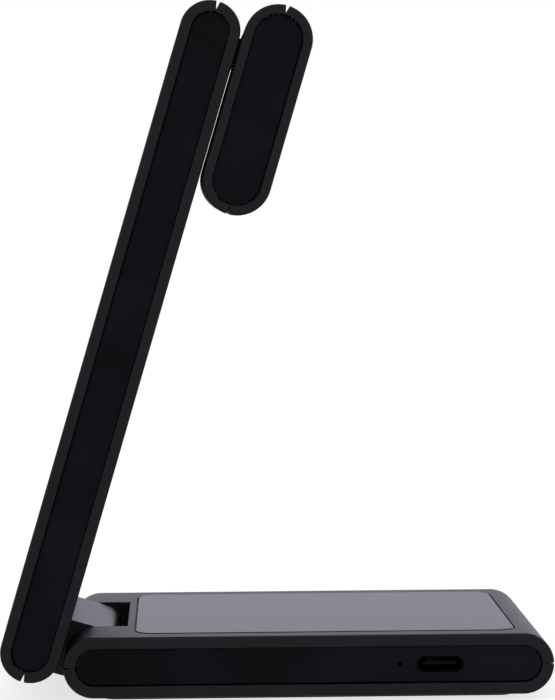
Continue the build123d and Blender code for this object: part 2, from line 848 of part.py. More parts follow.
watch_ferrite = disc(
    pod_face, puck_back + watch_coil_thick, ferrite_thick, watch_coil_outer, -puck_shift
)
finish(watch_ferrite, "watch_ferrite")

pod_circuit_board = circuit_board(
    pod_face, pod_board_start, pod_board_length, pod_board_depth, pod_board_centre
)
finish(pod_circuit_board, "pod_circuit_board")

pod_board_parts = board_parts(pod_face, pod_board_start, pod_board_centre, outwards=False)
finish(pod_board_parts, "pod_board_parts")

upper_hinge_pin = pin(pod_hinge, upper_pin_radius)
finish(upper_hinge_pin, "upper_hinge_pin")
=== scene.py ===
"""Dresses the folding three in one wireless charger and sets up its studio stage."""

import math

import bmesh
import bpy
from bpy.props import FloatProperty, FloatVectorProperty, IntProperty, PointerProperty
from mathutils import Matrix, Vector


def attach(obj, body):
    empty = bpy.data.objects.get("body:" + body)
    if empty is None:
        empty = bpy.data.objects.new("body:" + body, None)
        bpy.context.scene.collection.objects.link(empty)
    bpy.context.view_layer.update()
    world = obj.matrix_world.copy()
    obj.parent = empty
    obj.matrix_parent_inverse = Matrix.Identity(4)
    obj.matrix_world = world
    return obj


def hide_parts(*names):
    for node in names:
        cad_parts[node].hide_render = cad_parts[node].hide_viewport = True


bl_info = {
    "name": "Folding charger dresser",
    "version": (1, 0, 0),
    "blender": (4, 5, 0),
    "location": "View3D > Sidebar > Charger",
    "description": "Models and finishes the shells, pads, hinges and port of a folding wireless charger",
    "category": "Object",
}

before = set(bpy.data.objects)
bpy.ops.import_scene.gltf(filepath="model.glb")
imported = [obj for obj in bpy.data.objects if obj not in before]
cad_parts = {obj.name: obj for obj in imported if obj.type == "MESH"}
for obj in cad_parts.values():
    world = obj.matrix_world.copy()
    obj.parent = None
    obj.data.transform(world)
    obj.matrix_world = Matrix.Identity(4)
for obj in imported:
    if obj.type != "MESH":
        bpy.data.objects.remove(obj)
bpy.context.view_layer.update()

MM = 0.001
NEAR = 0.01 * MM
PHOTO_LONG_SIDE = 700
CAMERA_SENSOR = 36.0

# Facets of round forms
CORNER_STEPS = 12
PORT_STEPS = 16
LIGHT_STEPS = 32
BORE_STEPS = 48
DISH_STEPS = 128
DISH_RINGS = 14

# Angles that tell a flat, a smooth and a sharp edge apart
FLAT_ANGLE = math.radians(0.5)
SMOOTH_ANGLE = math.radians(40)
SHARP_ANGLE = math.radians(50)

# Share of a hinge cheek that the axle's bore goes into
BORE_SHARE = 0.75

# Relief of the fine textures
GRAIN_HEIGHT = 0.02 * MM
SCRATCH_HEIGHT = 0.01 * MM
FLECK_HEIGHT = 0.03 * MM
WIRE_HEIGHT = 0.3 * MM


def length_setting(name, description, millimetres):
    """A length, written in millimetres and kept in metres."""
    return FloatProperty(
        name=name, description=description, subtype="DISTANCE", unit="LENGTH", precision=5,
        default=millimetres * MM,
    )


def colour_setting(name, description, colour):
    """A plain colour."""
    return FloatVectorProperty(
        name=name, description=description, subtype="COLOR", size=3, min=0.0, max=1.0, default=colour
    )


def share_setting(name, description, value):
    """A number between none and all."""
    return FloatProperty(
        name=name, description=description, subtype="FACTOR", min=0.0, max=1.0, default=value
    )


class ChargerSizes(bpy.types.PropertyGroup):
    """Sizes of the slabs and of what is let into them."""

    depth: length_setting("Depth", "Depth of all three slabs", 62.0)
    base_length: length_setting("Base length", "Base from end to end", 98.5)
    base_thick: length_setting("Base thickness", "Base without its foot", 12.3)
    upright_length: length_setting("Upright length", "Upright from end to end", 140.9)
    upright_thick: length_setting("Upright thickness", "Upright without its inlay", 12.1)
    upright_lean: FloatProperty(
        name="Upright lean", description="Lean of the upright from plumb", subtype="ANGLE",
        default=math.radians(16.5),
    )
    pod_length: length_setting("Pod length", "Watch pod from end to end", 42.9)
    pod_thick: length_setting("Pod thickness", "Watch pod through its dish", 13.75)
    foot_proud: length_setting("Foot height", "How far the foot stands below the base", 1.2)
    fold_gap: length_setting("Fold gap", "Gap between base and upright when folded", 0.79)
    heel_drop: length_setting("Heel drop", "Upright's lower end below the hinge axis", 6.64)
    pod_gap: length_setting("Pod gap", "Gap between upright and pod", 0.5)
    pod_rise: length_setting("Pod rise", "Pod's top above the upright's top", 3.05)
    wall: length_setting("Wall", "Wall of the half shells", 2.45)
    base_rim: length_setting("Base rim", "Width of the base's rims", 2.4)
    upright_rim: length_setting("Upright rim", "Width of the upright's rims", 2.2)
    pod_rim: length_setting("Pod rim", "Width of the pod's rims", 1.95)
    rim_round: length_setting("Rim round", "Rounding of the rims' outer edges", 0.5)
    rim_inner_round: length_setting("Inner rim round", "Rounding of the rims' inner edges", 0.25)
    parting_gap: length_setting("Parting gap", "Gap between two half shells", 0.002)
    seam: length_setting("Seam", "Chamfer along the parting line", 0.1)
    base_groove: length_setting("Base groove", "Groove at the base's tips, across", 0.45)
    upright_groove: length_setting("Upright groove", "Groove at the upright's tips, across", 0.75)
    pod_groove: length_setting("Pod groove", "Groove at the pod's tips, across", 0.75)
    groove_depth: length_setting("Groove depth", "Groove at the slab tips, inwards", 1.7)
    panel_thick: length_setting("Panel thickness", "Side panels", 1.5)
    panel_sink: length_setting("Panel sink", "Side panels below the rims", 0.7)
    panel_fit: length_setting("Panel fit", "Gap round a side panel", 0.12)
    panel_play: length_setting("Panel play", "How far a side panel sits off the middle of its seat", 0.1)
    panel_edge: length_setting("Panel edge", "Rounding of the side panels' edges", 0.15)
    pad_sink: length_setting("Pad sink", "Depth of the inlays' seats", 0.9)
    pad_proud: length_setting("Pad proud", "Inlays above the shells", 0.1)
    pad_round: length_setting("Pad corner", "Corner radius of the inlays' seats", 4.0)
    pad_edge: length_setting("Pad edge", "Rounding of the inlays' edges", 0.3)
    pad_line: length_setting("Pad line", "Gap round an inlay", 0.25)
    pad_mouth: length_setting("Pad mouth", "Rounding of the inlays' seats", 0.08)
    pad_margin: length_setting("Pad margin", "Shell beside the inlays", 4.3)
    base_pad_start: length_setting("Base pad start", "Hinge end of the base to its inlay", 14.2)
    base_pad_end: length_setting("Base pad end", "Free end of the base to its inlay", 6.95)
    phone_pad_end: length_setting("Phone pad end", "Upright's ends to its inlay", 8.0)
    foot_sink: length_setting("Foot sink", "Depth of the foot's seat", 0.6)
    foot_margin: length_setting("Foot margin", "Base beside its foot", 5.5)
    foot_end: length_setting("Foot end", "Base's ends to its foot", 7.35)
    foot_round: length_setting("Foot corner", "Corner radius of the foot", 3.0)
    foot_notch: length_setting("Foot notch", "Foot cut back round the hinge", 2.0)
    foot_edge: length_setting("Foot edge", "Rounding of the foot's edge", 0.3)
    foot_border: length_setting("Foot border", "Foot's edge to its channel", 2.0)
    channel_width: length_setting("Channel width", "Channel in the foot, across its floor", 0.7)
    channel_depth: length_setting("Channel depth", "Channel in the foot, upwards", 0.25)
    channel_slope: length_setting("Channel slope", "Walls of the channel, across", 0.15)
    notch_width: length_setting("Notch width", "Hinge notches across", 33.0)
    notch_reach: length_setting("Notch reach", "Base notch beyond the hinge axis", 6.57)
    cheek: length_setting("Cheek", "Solid cheek on each side of a notch", 5.0)
    hinge_gap: length_setting("Hinge gap", "Knuckles to the cheeks", 0.3)
    window_fit: length_setting("Window fit", "Gap round a knuckle in its window", 0.1)
    knuckle_head: length_setting("Knuckle head", "Lower knuckle above the hinge axis", 5.81)
    knuckle_edge: length_setting("Knuckle edge", "Rounding of the knuckles' edges", 0.25)
    arm_top: length_setting("Arm top", "Pod arm below the pod axis, upper face", 1.2)
    arm_bottom: length_setting("Arm bottom", "Pod arm below the pod axis, lower face", 6.4)
    arm_gap: length_setting("Arm gap", "Room round the pod arm", 0.5)
    lower_bore: length_setting("Lower bore", "Radius of the base's hinge bore", 1.77)
    upper_bore: length_setting("Upper bore", "Radius of the pod's hinge bore", 1.52)
    port_margin: length_setting("Port margin", "Free end of the base to the charging port", 22.95)
    port_width: length_setting("Port width", "Charging port opening, across", 9.3)
    port_height: length_setting("Port height", "Charging port opening, upright", 3.2)
    port_mouth: length_setting("Port mouth", "Rounding of the port's opening", 0.06)
    port_fit: length_setting("Port fit", "Gap round the port's sleeve", 0.12)
    sleeve_wall: length_setting("Sleeve wall", "Wall of the port's sleeve", 0.3)
    sleeve_length: length_setting("Sleeve length", "Port's sleeve, inwards", 7.3)
    sleeve_sink: length_setting("Sleeve sink", "Port's sleeve below the panel", 0.4)
    tongue_width: length_setting("Tongue width", "Port's tongue across", 6.7)
    tongue_height: length_setting("Tongue height", "Port's tongue, upright", 0.7)
    tongue_length: length_setting("Tongue length", "Port's tongue, inwards", 5.5)
    tongue_sink: length_setting("Tongue sink", "Port's tongue below its sleeve's mouth", 1.2)
    contact_width: length_setting("Contact width", "Contact strips on the tongue, across", 0.26)
    contact_pitch: length_setting("Contact pitch", "Contact strips, middle to middle", 0.5)
    contact_length: length_setting("Contact length", "Contact strips, inwards", 3.0)
    contact_sink: length_setting("Contact sink", "Contact strips behind the tongue's front", 1.2)
    contact_proud: length_setting("Contact height", "Contact strips above the tongue", 0.03)
    contact_edge: length_setting("Contact edge", "Chamfer of the contact strips", 0.02)
    contact_count: IntProperty(
        name="Contacts", description="Contact strips on one side of the tongue", default=10
    )
    light_spacing: length_setting("Light spacing", "Status light to the charging port", 8.1)
    light_radius: length_setting("Light radius", "Radius of the status light", 0.55)
    puck_radius: length_setting("Dish radius", "Watch dish", 13.0)
    puck_shift: length_setting("Dish shift", "Watch dish below the pod's middle", 0.5)
    puck_dish: length_setting("Dish depth", "Hollow of the watch dish", 0.5)
    puck_rim: length_setting("Dish rim", "Rounding of the watch dish's rim", 0.4)
    puck_fit: length_setting("Dish fit", "Gap round the watch dish", 0.1)
    puck_flange: length_setting("Dish flange", "Flange behind the watch dish, beyond it", 1.0)
    puck_flange_thick: length_setting("Dish flange thickness", "Flange behind the watch dish", 0.8)
    phone_coil_rise: length_setting("Phone coil rise", "Phone coil above the upright's middle", 20.0)
    wire_pitch: length_setting("Wire pitch", "Coil wires, middle to middle", 0.8)
    cap_steps: IntProperty(name="Cap steps", description="Facets in a quarter of a slab's end", default=24)


class ChargerFinish(bpy.types.PropertyGroup):
    """Colours and gloss of the finishes."""

    shell_colour: colour_setting("Shell colour", "Moulded half shells and knuckles", (0.0078, 0.0076, 0.0112))
    shell_roughness: share_setting("Shell roughness", "Fine texture of the shells", 0.42)
    knuckle_roughness: share_setting("Knuckle roughness", "Fine texture of the knuckles", 0.34)
    panel_colour: colour_setting("Panel colour", "Side panels set into the rims", (0.0028, 0.0026, 0.0050))
    panel_roughness: share_setting("Panel roughness", "Satin of the side panels", 0.4)
    pad_colour: colour_setting("Pad colour", "Inlays for the earbuds and the phone", (0.0070, 0.0062, 0.0105))
    pad_roughness: share_setting("Pad roughness", "Smooth satin of the inlays", 0.26)
    puck_colour: colour_setting("Dish colour", "Polished watch dish", (0.008, 0.008, 0.009))
    foot_colour: colour_setting("Foot colour", "Rubber foot", (0.010, 0.010, 0.010))
    sleeve_colour: colour_setting(
        "Sleeve colour", "Dark plating of the port's sleeve", (0.0022, 0.0022, 0.0026)
    )
    tongue_colour: colour_setting("Tongue colour", "Tongue of the port", (0.003, 0.003, 0.0034))
    contact_colour: colour_setting("Contact colour", "Gilt contacts of the port", (0.65, 0.46, 0.2))
    copper_colour: colour_setting("Copper colour", "Coil windings", (0.62, 0.25, 0.11))
    board_colour: colour_setting("Board colour", "Solder mask of the circuit boards", (0.010, 0.085, 0.035))
    chip_colour: colour_setting("Chip colour", "What is soldered to the boards", (0.012, 0.012, 0.012))
    ferrite_colour: colour_setting("Ferrite colour", "Shields behind the coils", (0.014, 0.014, 0.015))
    magnet_colour: colour_setting("Magnet colour", "Plating of the magnets", (0.52, 0.52, 0.54))
    steel_colour: colour_setting("Steel colour", "Pins, screws and ballast", (0.46, 0.46, 0.48))


class ChargerStage(bpy.types.PropertyGroup):
    """Camera and light of the studio stage."""

    camera_place: FloatVectorProperty(
        name="Camera place", description="Where the camera stands",
        subtype="TRANSLATION", unit="LENGTH", size=3, default=(-0.02596, -0.58207, 0.10345),
    )
    camera_yaw: FloatProperty(
        name="Camera yaw", description="Turn of the view towards the free end of the base",
        subtype="ANGLE", default=0.0360,
    )
    camera_pitch: FloatProperty(
        name="Camera pitch", description="Tilt of the view below the horizon",
        subtype="ANGLE", default=0.0592,
    )
    camera_roll: FloatProperty(
        name="Camera roll", description="Roll of the view about its own line",
        subtype="ANGLE", default=-0.0047,
    )
    focal_pixels: FloatProperty(
        name="Focal length in pixels", description="Focal length over the long side of the view",
        min=100.0, default=2780.4,
    )
    room_colour: colour_setting("Room colour", "Colour of the light in the room", (1.0, 1.0, 1.0))
    back_light_colour: colour_setting("Back light colour", "Cool soft light from behind", (0.35, 0.1, 1.0))
    back_light_power: FloatProperty(
        name="Back light power", description="Strength of the light from behind",
        subtype="POWER", unit="POWER", min=0.0, default=2.1,
    )
    back_light_place: FloatVectorProperty(
        name="Back light place", description="Middle of the light from behind",
        subtype="TRANSLATION", unit="LENGTH", size=3, default=(0.1, 2.0, 0.6),
    )
    back_light_size: FloatVectorProperty(
        name="Back light size", description="Width and height of the light from behind",
        subtype="TRANSLATION", unit="LENGTH", size=2, default=(3.0, 1.2),
    )
    floor_colour: colour_setting("Floor colour", "Plain pale floor", (0.3, 0.3, 0.3))
    floor_lift: FloatProperty(
        name="Floor lift", description="What the eye sees on the floor above the light it gets",
        min=0.0, default=0.73,
    )
    floor_drop: length_setting("Floor drop", "Floor below the rubber foot", 0.02)


def sizes():
    """The add-on's sizes in the open scene."""
    return bpy.context.scene.charger_sizes


def finishes():
    """The add-on's finishes in the open scene."""
    return bpy.context.scene.charger_finish


class Slab:
    """A slab in its own frame: x along it, y through the depth, z out of its outer face."""

    def __init__(self, body, length, thick, rim, groove, middle, lean):
        along = (math.sin(lean), 0.0, math.cos(lean))
        out = (-math.cos(lean), 0.0, math.sin(lean))
        self.body = body
        self.length = length
        self.thick = thick
        self.rim = rim
        self.groove = groove
        self.outer = Matrix.Translation(middle) @ Matrix((along, (0.0, 1.0, 0.0), out)).transposed().to_4x4()
        self.inner = self.outer @ Matrix.Rotation(math.pi, 4, "X")


def hinge_frame(size):
    """Frame of the lower hinge: x up the upright, z towards its outer face."""
    middle = (size.base_thick / 2 - size.base_length / 2, 0.0, size.foot_proud + size.base_thick / 2)
    return Slab("upright", 0.0, 0.0, 0.0, 0.0, middle, size.upright_lean).outer


def base_slab():
    """The slab that stands on the table."""
    size = sizes()
    middle = (0.0, 0.0, size.foot_proud + size.base_thick / 2)
    return Slab(
        "base", size.base_length, size.base_thick, size.base_rim, size.base_groove, middle, math.pi / 2
    )


def back_distance(size):
    """Lower hinge axis to the upright's back face."""
    return size.base_thick / 2 + size.fold_gap


def upright_slab():
    """The leaning slab that holds the phone."""
    size = sizes()
    through = back_distance(size) + size.upright_thick / 2
    middle = hinge_frame(size) @ Vector((size.upright_length / 2 - size.heel_drop, 0.0, through))
    return Slab(
        "upright", size.upright_length, size.upright_thick, size.upright_rim, size.upright_groove, middle,
        size.upright_lean,
    )


def pod_slab():
    """The small slab that holds the watch."""
    size = sizes()
    top = size.upright_length - size.heel_drop + size.pod_rise
    through = back_distance(size) - size.pod_gap - size.pod_thick / 2
    middle = hinge_frame(size) @ Vector((top - size.pod_length / 2, 0.0, through))
    return Slab(
        "watch_pod", size.pod_length, size.pod_thick, size.pod_rim, size.pod_groove, middle, size.upright_lean
    )


def edit_mode():
    """Go on shaping the piece in work."""
    bpy.ops.object.mode_set(mode="EDIT")


def object_mode():
    """Leave the piece in work as it is, and hand it over."""
    bpy.ops.object.mode_set(mode="OBJECT")
    return bpy.context.object


def reopen(piece):
    """Go back to shaping a piece."""
    bpy.context.view_layer.objects.active = piece
    piece.select_set(True)
    edit_mode()


def pick_edges(test):
    """Select only the edges in work whose two ends pass a test."""
    bpy.ops.mesh.select_mode(type="EDGE")
    bpy.ops.mesh.select_all(action="DESELECT")
    shape = bmesh.from_edit_mesh(bpy.context.object.data)
    for edge in shape.edges:
        edge.select_set(test(edge.verts[0].co, edge.verts[1].co))
    bmesh.update_edit_mesh(bpy.context.object.data)


def pick_level(axis, level):
    """Select only the edges in work that lie at one level of an axis."""
    pick_edges(lambda a, b: all(abs(getattr(p, axis) - level) < NEAR for p in (a, b)))


def round_edges(offset, segments):
    """Round the selected edges."""
    bpy.ops.mesh.bevel(offset=offset, segments=segments, affect="EDGES")


def pick_faces(test):
    """Select only the faces in work whose middle and normal pass a test."""
    bpy.ops.mesh.select_mode(type="FACE")
    bpy.ops.mesh.select_all(action="DESELECT")
    shape = bmesh.from_edit_mesh(bpy.context.object.data)
    for face in shape.faces:
        face.select_set(test(face.calc_center_median(), face.normal))
    bmesh.update_edit_mesh(bpy.context.object.data)


def add_block(low, high):
    """Add a block between two corners and go into edit mode."""
    bpy.ops.object.select_all(action="DESELECT")
    middle = [(a + b) / 2 for a, b in zip(low, high)]
    span = [b - a for a, b in zip(low, high)]
    bpy.ops.mesh.primitive_cube_add(size=1.0, location=middle, scale=span)
    bpy.ops.object.transform_apply(location=True, rotation=True, scale=True)
    edit_mode()


def block_tool(low, high):
    """A block that is to be joined to a piece or cut out of it."""
    add_block(low, high)
    return object_mode()


def rod_tool(middle, radius, length, turn, steps):
    """A rod that is to be joined to a piece or cut out of it."""
    bpy.ops.object.select_all(action="DESELECT")
    bpy.ops.mesh.primitive_cylinder_add(
        vertices=steps, radius=radius, depth=length, location=middle, rotation=turn
    )
    bpy.ops.object.transform_apply(location=True, rotation=True, scale=True)
    return bpy.context.object


def add_rounded_sheet(middle, length, width, low, high, radius):
    """Add a flat sheet with rounded corners and go into edit mode."""
    add_block(
        (middle - length / 2, -width / 2, low), (middle + length / 2, width / 2, high)
    )
    pick_edges(lambda a, b: abs(a.z - b.z) > (high - low) / 2)
    round_edges(radius, CORNER_STEPS)


def add_slot_block(middle, length, thick, low, high, steps):
    """Add a block with fully rounded ends, along x and between two depths, and go into edit mode."""
    add_block((middle - length / 2, low, -thick / 2), (middle + length / 2, high, thick / 2))
    pick_edges(lambda a, b: abs(a.y - b.y) > (high - low) / 2)
    round_edges(thick / 2 - NEAR / 100, steps)
    bpy.ops.mesh.select_all(action="SELECT")
    bpy.ops.mesh.remove_doubles(threshold=NEAR / 10)


def keep_side(point, normal):
    """Cut the piece in work by a plane, drop the side that the normal points to and close the cut."""
    bpy.ops.mesh.select_all(action="SELECT")
    bpy.ops.mesh.bisect(
        plane_co=point, plane_no=Vector(normal).normalized(), use_fill=True, clear_outer=True,
        threshold=NEAR / 100,
    )


def apply_modifier(piece, modifier):
    """Make a modifier's result the piece's own mesh."""
    bpy.ops.object.select_all(action="DESELECT")
    piece.select_set(True)
    bpy.context.view_layer.objects.active = piece
    bpy.ops.object.modifier_apply(modifier=modifier.name)


def combine(piece, tool, operation):
    """Join a tool shape to a piece, or cut it out, and drop the tool."""
    modifier = piece.modifiers.new("combine", "BOOLEAN")
    modifier.operation = operation
    modifier.solver = "EXACT"
    modifier.object = tool
    apply_modifier(piece, modifier)
    bpy.data.objects.remove(tool, do_unlink=True)


def cut(piece, tool):
    """Cut a tool shape out of a piece."""
    combine(piece, tool, "DIFFERENCE")


def join(piece, tool):
    """Join a tool shape to a piece."""
    combine(piece, tool, "UNION")


def soften_edges(piece, width, segments, angle):
    """Round every edge of a piece that is sharper than an angle."""
    modifier = piece.modifiers.new("soft_edges", "BEVEL")
    modifier.width = width
    modifier.segments = segments
    modifier.limit_method = "ANGLE"
    modifier.angle_limit = angle
    apply_modifier(piece, modifier)


def hand_over(piece, name, place, body, nodes, material):
    """Name, place and finish a piece, and let it stand for its CAD nodes."""
    bpy.ops.object.select_all(action="DESELECT")
    piece.select_set(True)
    bpy.context.view_layer.objects.active = piece
    piece.name = name
    piece.data.name = name
    piece.matrix_world = place
    bpy.ops.object.transform_apply(location=True, rotation=True, scale=True)
    bpy.ops.object.shade_smooth_by_angle(angle=SMOOTH_ANGLE)
    modifier = piece.modifiers.new("even_shading", "WEIGHTED_NORMAL")
    modifier.keep_sharp = True
    apply_modifier(piece, modifier)
    piece.data.materials.clear()
    piece.data.materials.append(material)
    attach(piece, body)
    if nodes:
        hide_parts(*nodes)


def new_group(name, inputs, outputs):
    """A node group with named sockets, and its two end nodes."""
    group = bpy.data.node_groups.new(name, "ShaderNodeTree")
    for label, kind in inputs:
        group.interface.new_socket(label, in_out="INPUT", socket_type=kind)
    for label, kind in outputs:
        group.interface.new_socket(label, in_out="OUTPUT", socket_type=kind)
    return group, group.nodes.new("NodeGroupInput"), group.nodes.new("NodeGroupOutput")


def add_node(tree, kind, **values):
    """Add a node; values name its own settings."""
    node = tree.nodes.new(kind)
    for key, value in values.items():
        setattr(node, key, value)
    return node


def map_range(tree, source, low, high, to_low, to_high):
    """Spread a value between two bounds over another range."""
    node = add_node(tree, "ShaderNodeMapRange", clamp=True)
    tree.links.new(source, node.inputs["Value"])
    for socket, value in zip(("From Min", "From Max", "To Min", "To Max"), (low, high, to_low, to_high)):
        node.inputs[socket].default_value = value
    return node.outputs["Result"]


def noise(tree, vector, scale, detail):
    """Soft noise at the scale that a socket gives."""
    node = add_node(tree, "ShaderNodeTexNoise")
    tree.links.new(vector, node.inputs["Vector"])
    tree.links.new(scale, node.inputs["Scale"])
    node.inputs["Detail"].default_value = detail
    return node.outputs["Fac"]


FLOAT = "NodeSocketFloat"
VECTOR = "NodeSocketVector"


def moulded_grain_group():
    """Fine texture of a mould's surface, and soft patches left by handling."""
    group, start, end = new_group(
        "moulded_grain",
        (("Vector", VECTOR), ("Grain Scale", FLOAT), ("Patch Scale", FLOAT)),
        (("Height", FLOAT), ("Patches", FLOAT)),
    )
    grain = noise(group, start.outputs["Vector"], start.outputs["Grain Scale"], 2.0)
    patches = noise(group, start.outputs["Vector"], start.outputs["Patch Scale"], 4.0)
    group.links.new(grain, end.inputs["Height"])
    group.links.new(map_range(group, patches, 0.35, 0.65, 0.0, 1.0), end.inputs["Patches"])
    return group


def winding_group():
    """Wires wound round the z axis."""
    group, start, end = new_group(
        "coil_windings", (("Vector", VECTOR), ("Turns", FLOAT)), (("Height", FLOAT), ("Gaps", FLOAT))
    )
    flat = add_node(group, "ShaderNodeVectorMath", operation="MULTIPLY")
    flat.inputs[1].default_value = (1.0, 1.0, 0.0)
    group.links.new(start.outputs["Vector"], flat.inputs[0])
    reach = add_node(group, "ShaderNodeVectorMath", operation="LENGTH")
    group.links.new(flat.outputs["Vector"], reach.inputs[0])
    turns = add_node(group, "ShaderNodeMath", operation="MULTIPLY")
    group.links.new(reach.outputs["Value"], turns.inputs[0])
    group.links.new(start.outputs["Turns"], turns.inputs[1])
    wave = add_node(group, "ShaderNodeMath", operation="PINGPONG")
    wave.inputs[1].default_value = 0.5
    group.links.new(turns.outputs[0], wave.inputs[0])
    group.links.new(map_range(group, wave.outputs[0], 0.0, 0.5, 0.0, 1.0), end.inputs["Height"])
    group.links.new(map_range(group, wave.outputs[0], 0.03, 0.14, 1.0, 0.0), end.inputs["Gaps"])
    return group


def brushed_group():
    """Fine lines of brushed or drawn metal along the x axis."""
    group, start, end = new_group(
        "brushed_lines", (("Vector", VECTOR), ("Scale", FLOAT)), (("Height", FLOAT), ("Lines", FLOAT))
    )
    stretch = add_node(group, "ShaderNodeVectorMath", operation="MULTIPLY")
    stretch.inputs[1].default_value = (0.02, 1.0, 1.0)
    group.links.new(start.outputs["Vector"], stretch.inputs[0])
    lines = noise(group, stretch.outputs["Vector"], start.outputs["Scale"], 3.0)
    group.links.new(lines, end.inputs["Height"])
    group.links.new(map_range(group, lines, 0.3, 0.7, 0.0, 1.0), end.inputs["Lines"])
    return group


def fleck_group():
    """Scattered grains, as in sintered or filled material."""
    group, start, end = new_group(
        "flecks", (("Vector", VECTOR), ("Scale", FLOAT)), (("Height", FLOAT), ("Flecks", FLOAT))
    )
    cells = add_node(group, "ShaderNodeTexVoronoi")
    group.links.new(start.outputs["Vector"], cells.inputs["Vector"])
    group.links.new(start.outputs["Scale"], cells.inputs["Scale"])
    group.links.new(cells.outputs["Distance"], end.inputs["Height"])
    group.links.new(map_range(group, cells.outputs["Distance"], 0.15, 0.45, 1.0, 0.0), end.inputs["Flecks"])
    return group


GROUPS = {
    "moulded_grain": moulded_grain_group,
    "coil_windings": winding_group,
    "brushed_lines": brushed_group,
    "flecks": fleck_group,
}


def place_group(tree, name, vector, **values):
    """Put a shared node group into a material, building it on first use."""
    group = bpy.data.node_groups.get(name) or GROUPS[name]()
    node = add_node(tree, "ShaderNodeGroup", node_tree=group)
    tree.links.new(vector, node.inputs["Vector"])
    for label, value in values.items():
        node.inputs[label.replace("_", " ").title()].default_value = value
    return node


def new_material(name, ior, place=None):
    """A fresh material: its tree, its shader and its coordinates, turned to a place if one is given."""
    material = bpy.data.materials.new(name)
    material.use_nodes = True
    tree = material.node_tree
    shader = tree.nodes["Principled BSDF"]
    shader.inputs["IOR"].default_value = ior
    vector = add_node(tree, "ShaderNodeTexCoord").outputs["Object"]
    if place is not None:
        mapping = add_node(tree, "ShaderNodeMapping", vector_type="TEXTURE")
        mapping.inputs["Location"].default_value = place.to_translation()
        mapping.inputs["Rotation"].default_value = place.to_euler()
        tree.links.new(vector, mapping.inputs["Vector"])
        vector = mapping.outputs["Vector"]
    return material, tree, shader, vector


def paint_between(tree, shader, mask, dark, light):
    """Base colour that goes from one colour to another by a mask."""
    mix = add_node(tree, "ShaderNodeMix", data_type="RGBA")
    tree.links.new(mask, mix.inputs["Factor"])
    mix.inputs[6].default_value = (*dark, 1.0)
    mix.inputs[7].default_value = (*light, 1.0)
    tree.links.new(mix.outputs[2], shader.inputs["Base Color"])


def rough_between(tree, shader, mask, low, high):
    """Roughness that goes from one value to another by a mask."""
    tree.links.new(map_range(tree, mask, 0.0, 1.0, low, high), shader.inputs["Roughness"])


def bump(tree, shader, height, strength, distance):
    """Small relief on the surface."""
    node = add_node(tree, "ShaderNodeBump")
    node.inputs["Strength"].default_value = strength
    node.inputs["Distance"].default_value = distance
    tree.links.new(height, node.inputs["Height"])
    tree.links.new(node.outputs["Normal"], shader.inputs["Normal"])


def shade(colour, factor):
    """A colour made darker or lighter."""
    return tuple(channel * factor for channel in colour)


def moulded_plastic(
    name, colour, roughness, ior, grain_scale, relief, speckle=0.01, tones=(0.88, 1.12), patch_scale=55.0
):
    """Plastic with a mould's grain and faint traces of handling."""
    material = bpy.data.materials.get(name)
    if material:
        return material
    material, tree, shader, vector = new_material(name, ior)
    grain = place_group(tree, "moulded_grain", vector, grain_scale=grain_scale, patch_scale=patch_scale)
    dark, light = (shade(colour, tone) for tone in tones)
    paint_between(tree, shader, grain.outputs["Patches"], dark, light)
    rough_between(tree, shader, grain.outputs["Height"], roughness - speckle, roughness + speckle)
    bump(tree, shader, grain.outputs["Height"], relief, GRAIN_HEIGHT)
    return material


def shell_plastic():
    """Satin plastic of the half shells."""
    finish = finishes()
    return moulded_plastic(
        "shell_plastic", finish.shell_colour, finish.shell_roughness,
        ior=1.24, grain_scale=2600.0, relief=0.1, speckle=0.16,
    )


def knuckle_plastic():
    """Plastic of the knuckles, polished a little by the hinge."""
    finish = finishes()
    return moulded_plastic(
        "knuckle_plastic", finish.shell_colour, finish.knuckle_roughness,
        ior=1.24, grain_scale=2600.0, relief=0.1, speckle=0.16,
    )


def panel_plastic():
    """Satin plastic of the side panels, with broad random patches of darker and lighter tone."""
    finish = finishes()
    return moulded_plastic(
        "panel_plastic", finish.panel_colour, finish.panel_roughness,
        ior=1.15, grain_scale=2200.0, relief=0.1, speckle=0.1, tones=(0.3, 2.2), patch_scale=33.0,
    )


def pad_plastic():
    """Smooth plastic of the inlays."""
    finish = finishes()
    return moulded_plastic(
        "pad_plastic", finish.pad_colour, finish.pad_roughness,
        ior=1.19, grain_scale=3200.0, relief=0.015, speckle=0.015,
    )


def brushed_metal(name, colour, place, roughness, scale):
    """Bare or plated metal with fine drawn lines."""
    material, tree, shader, vector = new_material(name, 1.45, place)
    shader.inputs["Metallic"].default_value = 1.0
    lines = place_group(tree, "brushed_lines", vector, scale=scale)
    paint_between(tree, shader, lines.outputs["Lines"], shade(colour, 0.82), shade(colour, 1.08))
    rough_between(tree, shader, lines.outputs["Lines"], roughness - 0.06, roughness + 0.06)
    bump(tree, shader, lines.outputs["Height"], 0.15, GRAIN_HEIGHT)
    return material


def flecked(name, colour, roughness, ior, scale, contrast):
    """Filled or sintered material with fine grains."""
    material, tree, shader, vector = new_material(name, ior)
    grains = place_group(tree, "flecks", vector, scale=scale)
    dark, light = shade(colour, 1 - contrast), shade(colour, 1 + contrast)
    paint_between(tree, shader, grains.outputs["Flecks"], dark, light)
    rough_between(tree, shader, grains.outputs["Flecks"], roughness - 0.08, roughness + 0.05)
    bump(tree, shader, grains.outputs["Height"], 0.2, FLECK_HEIGHT)
    return material


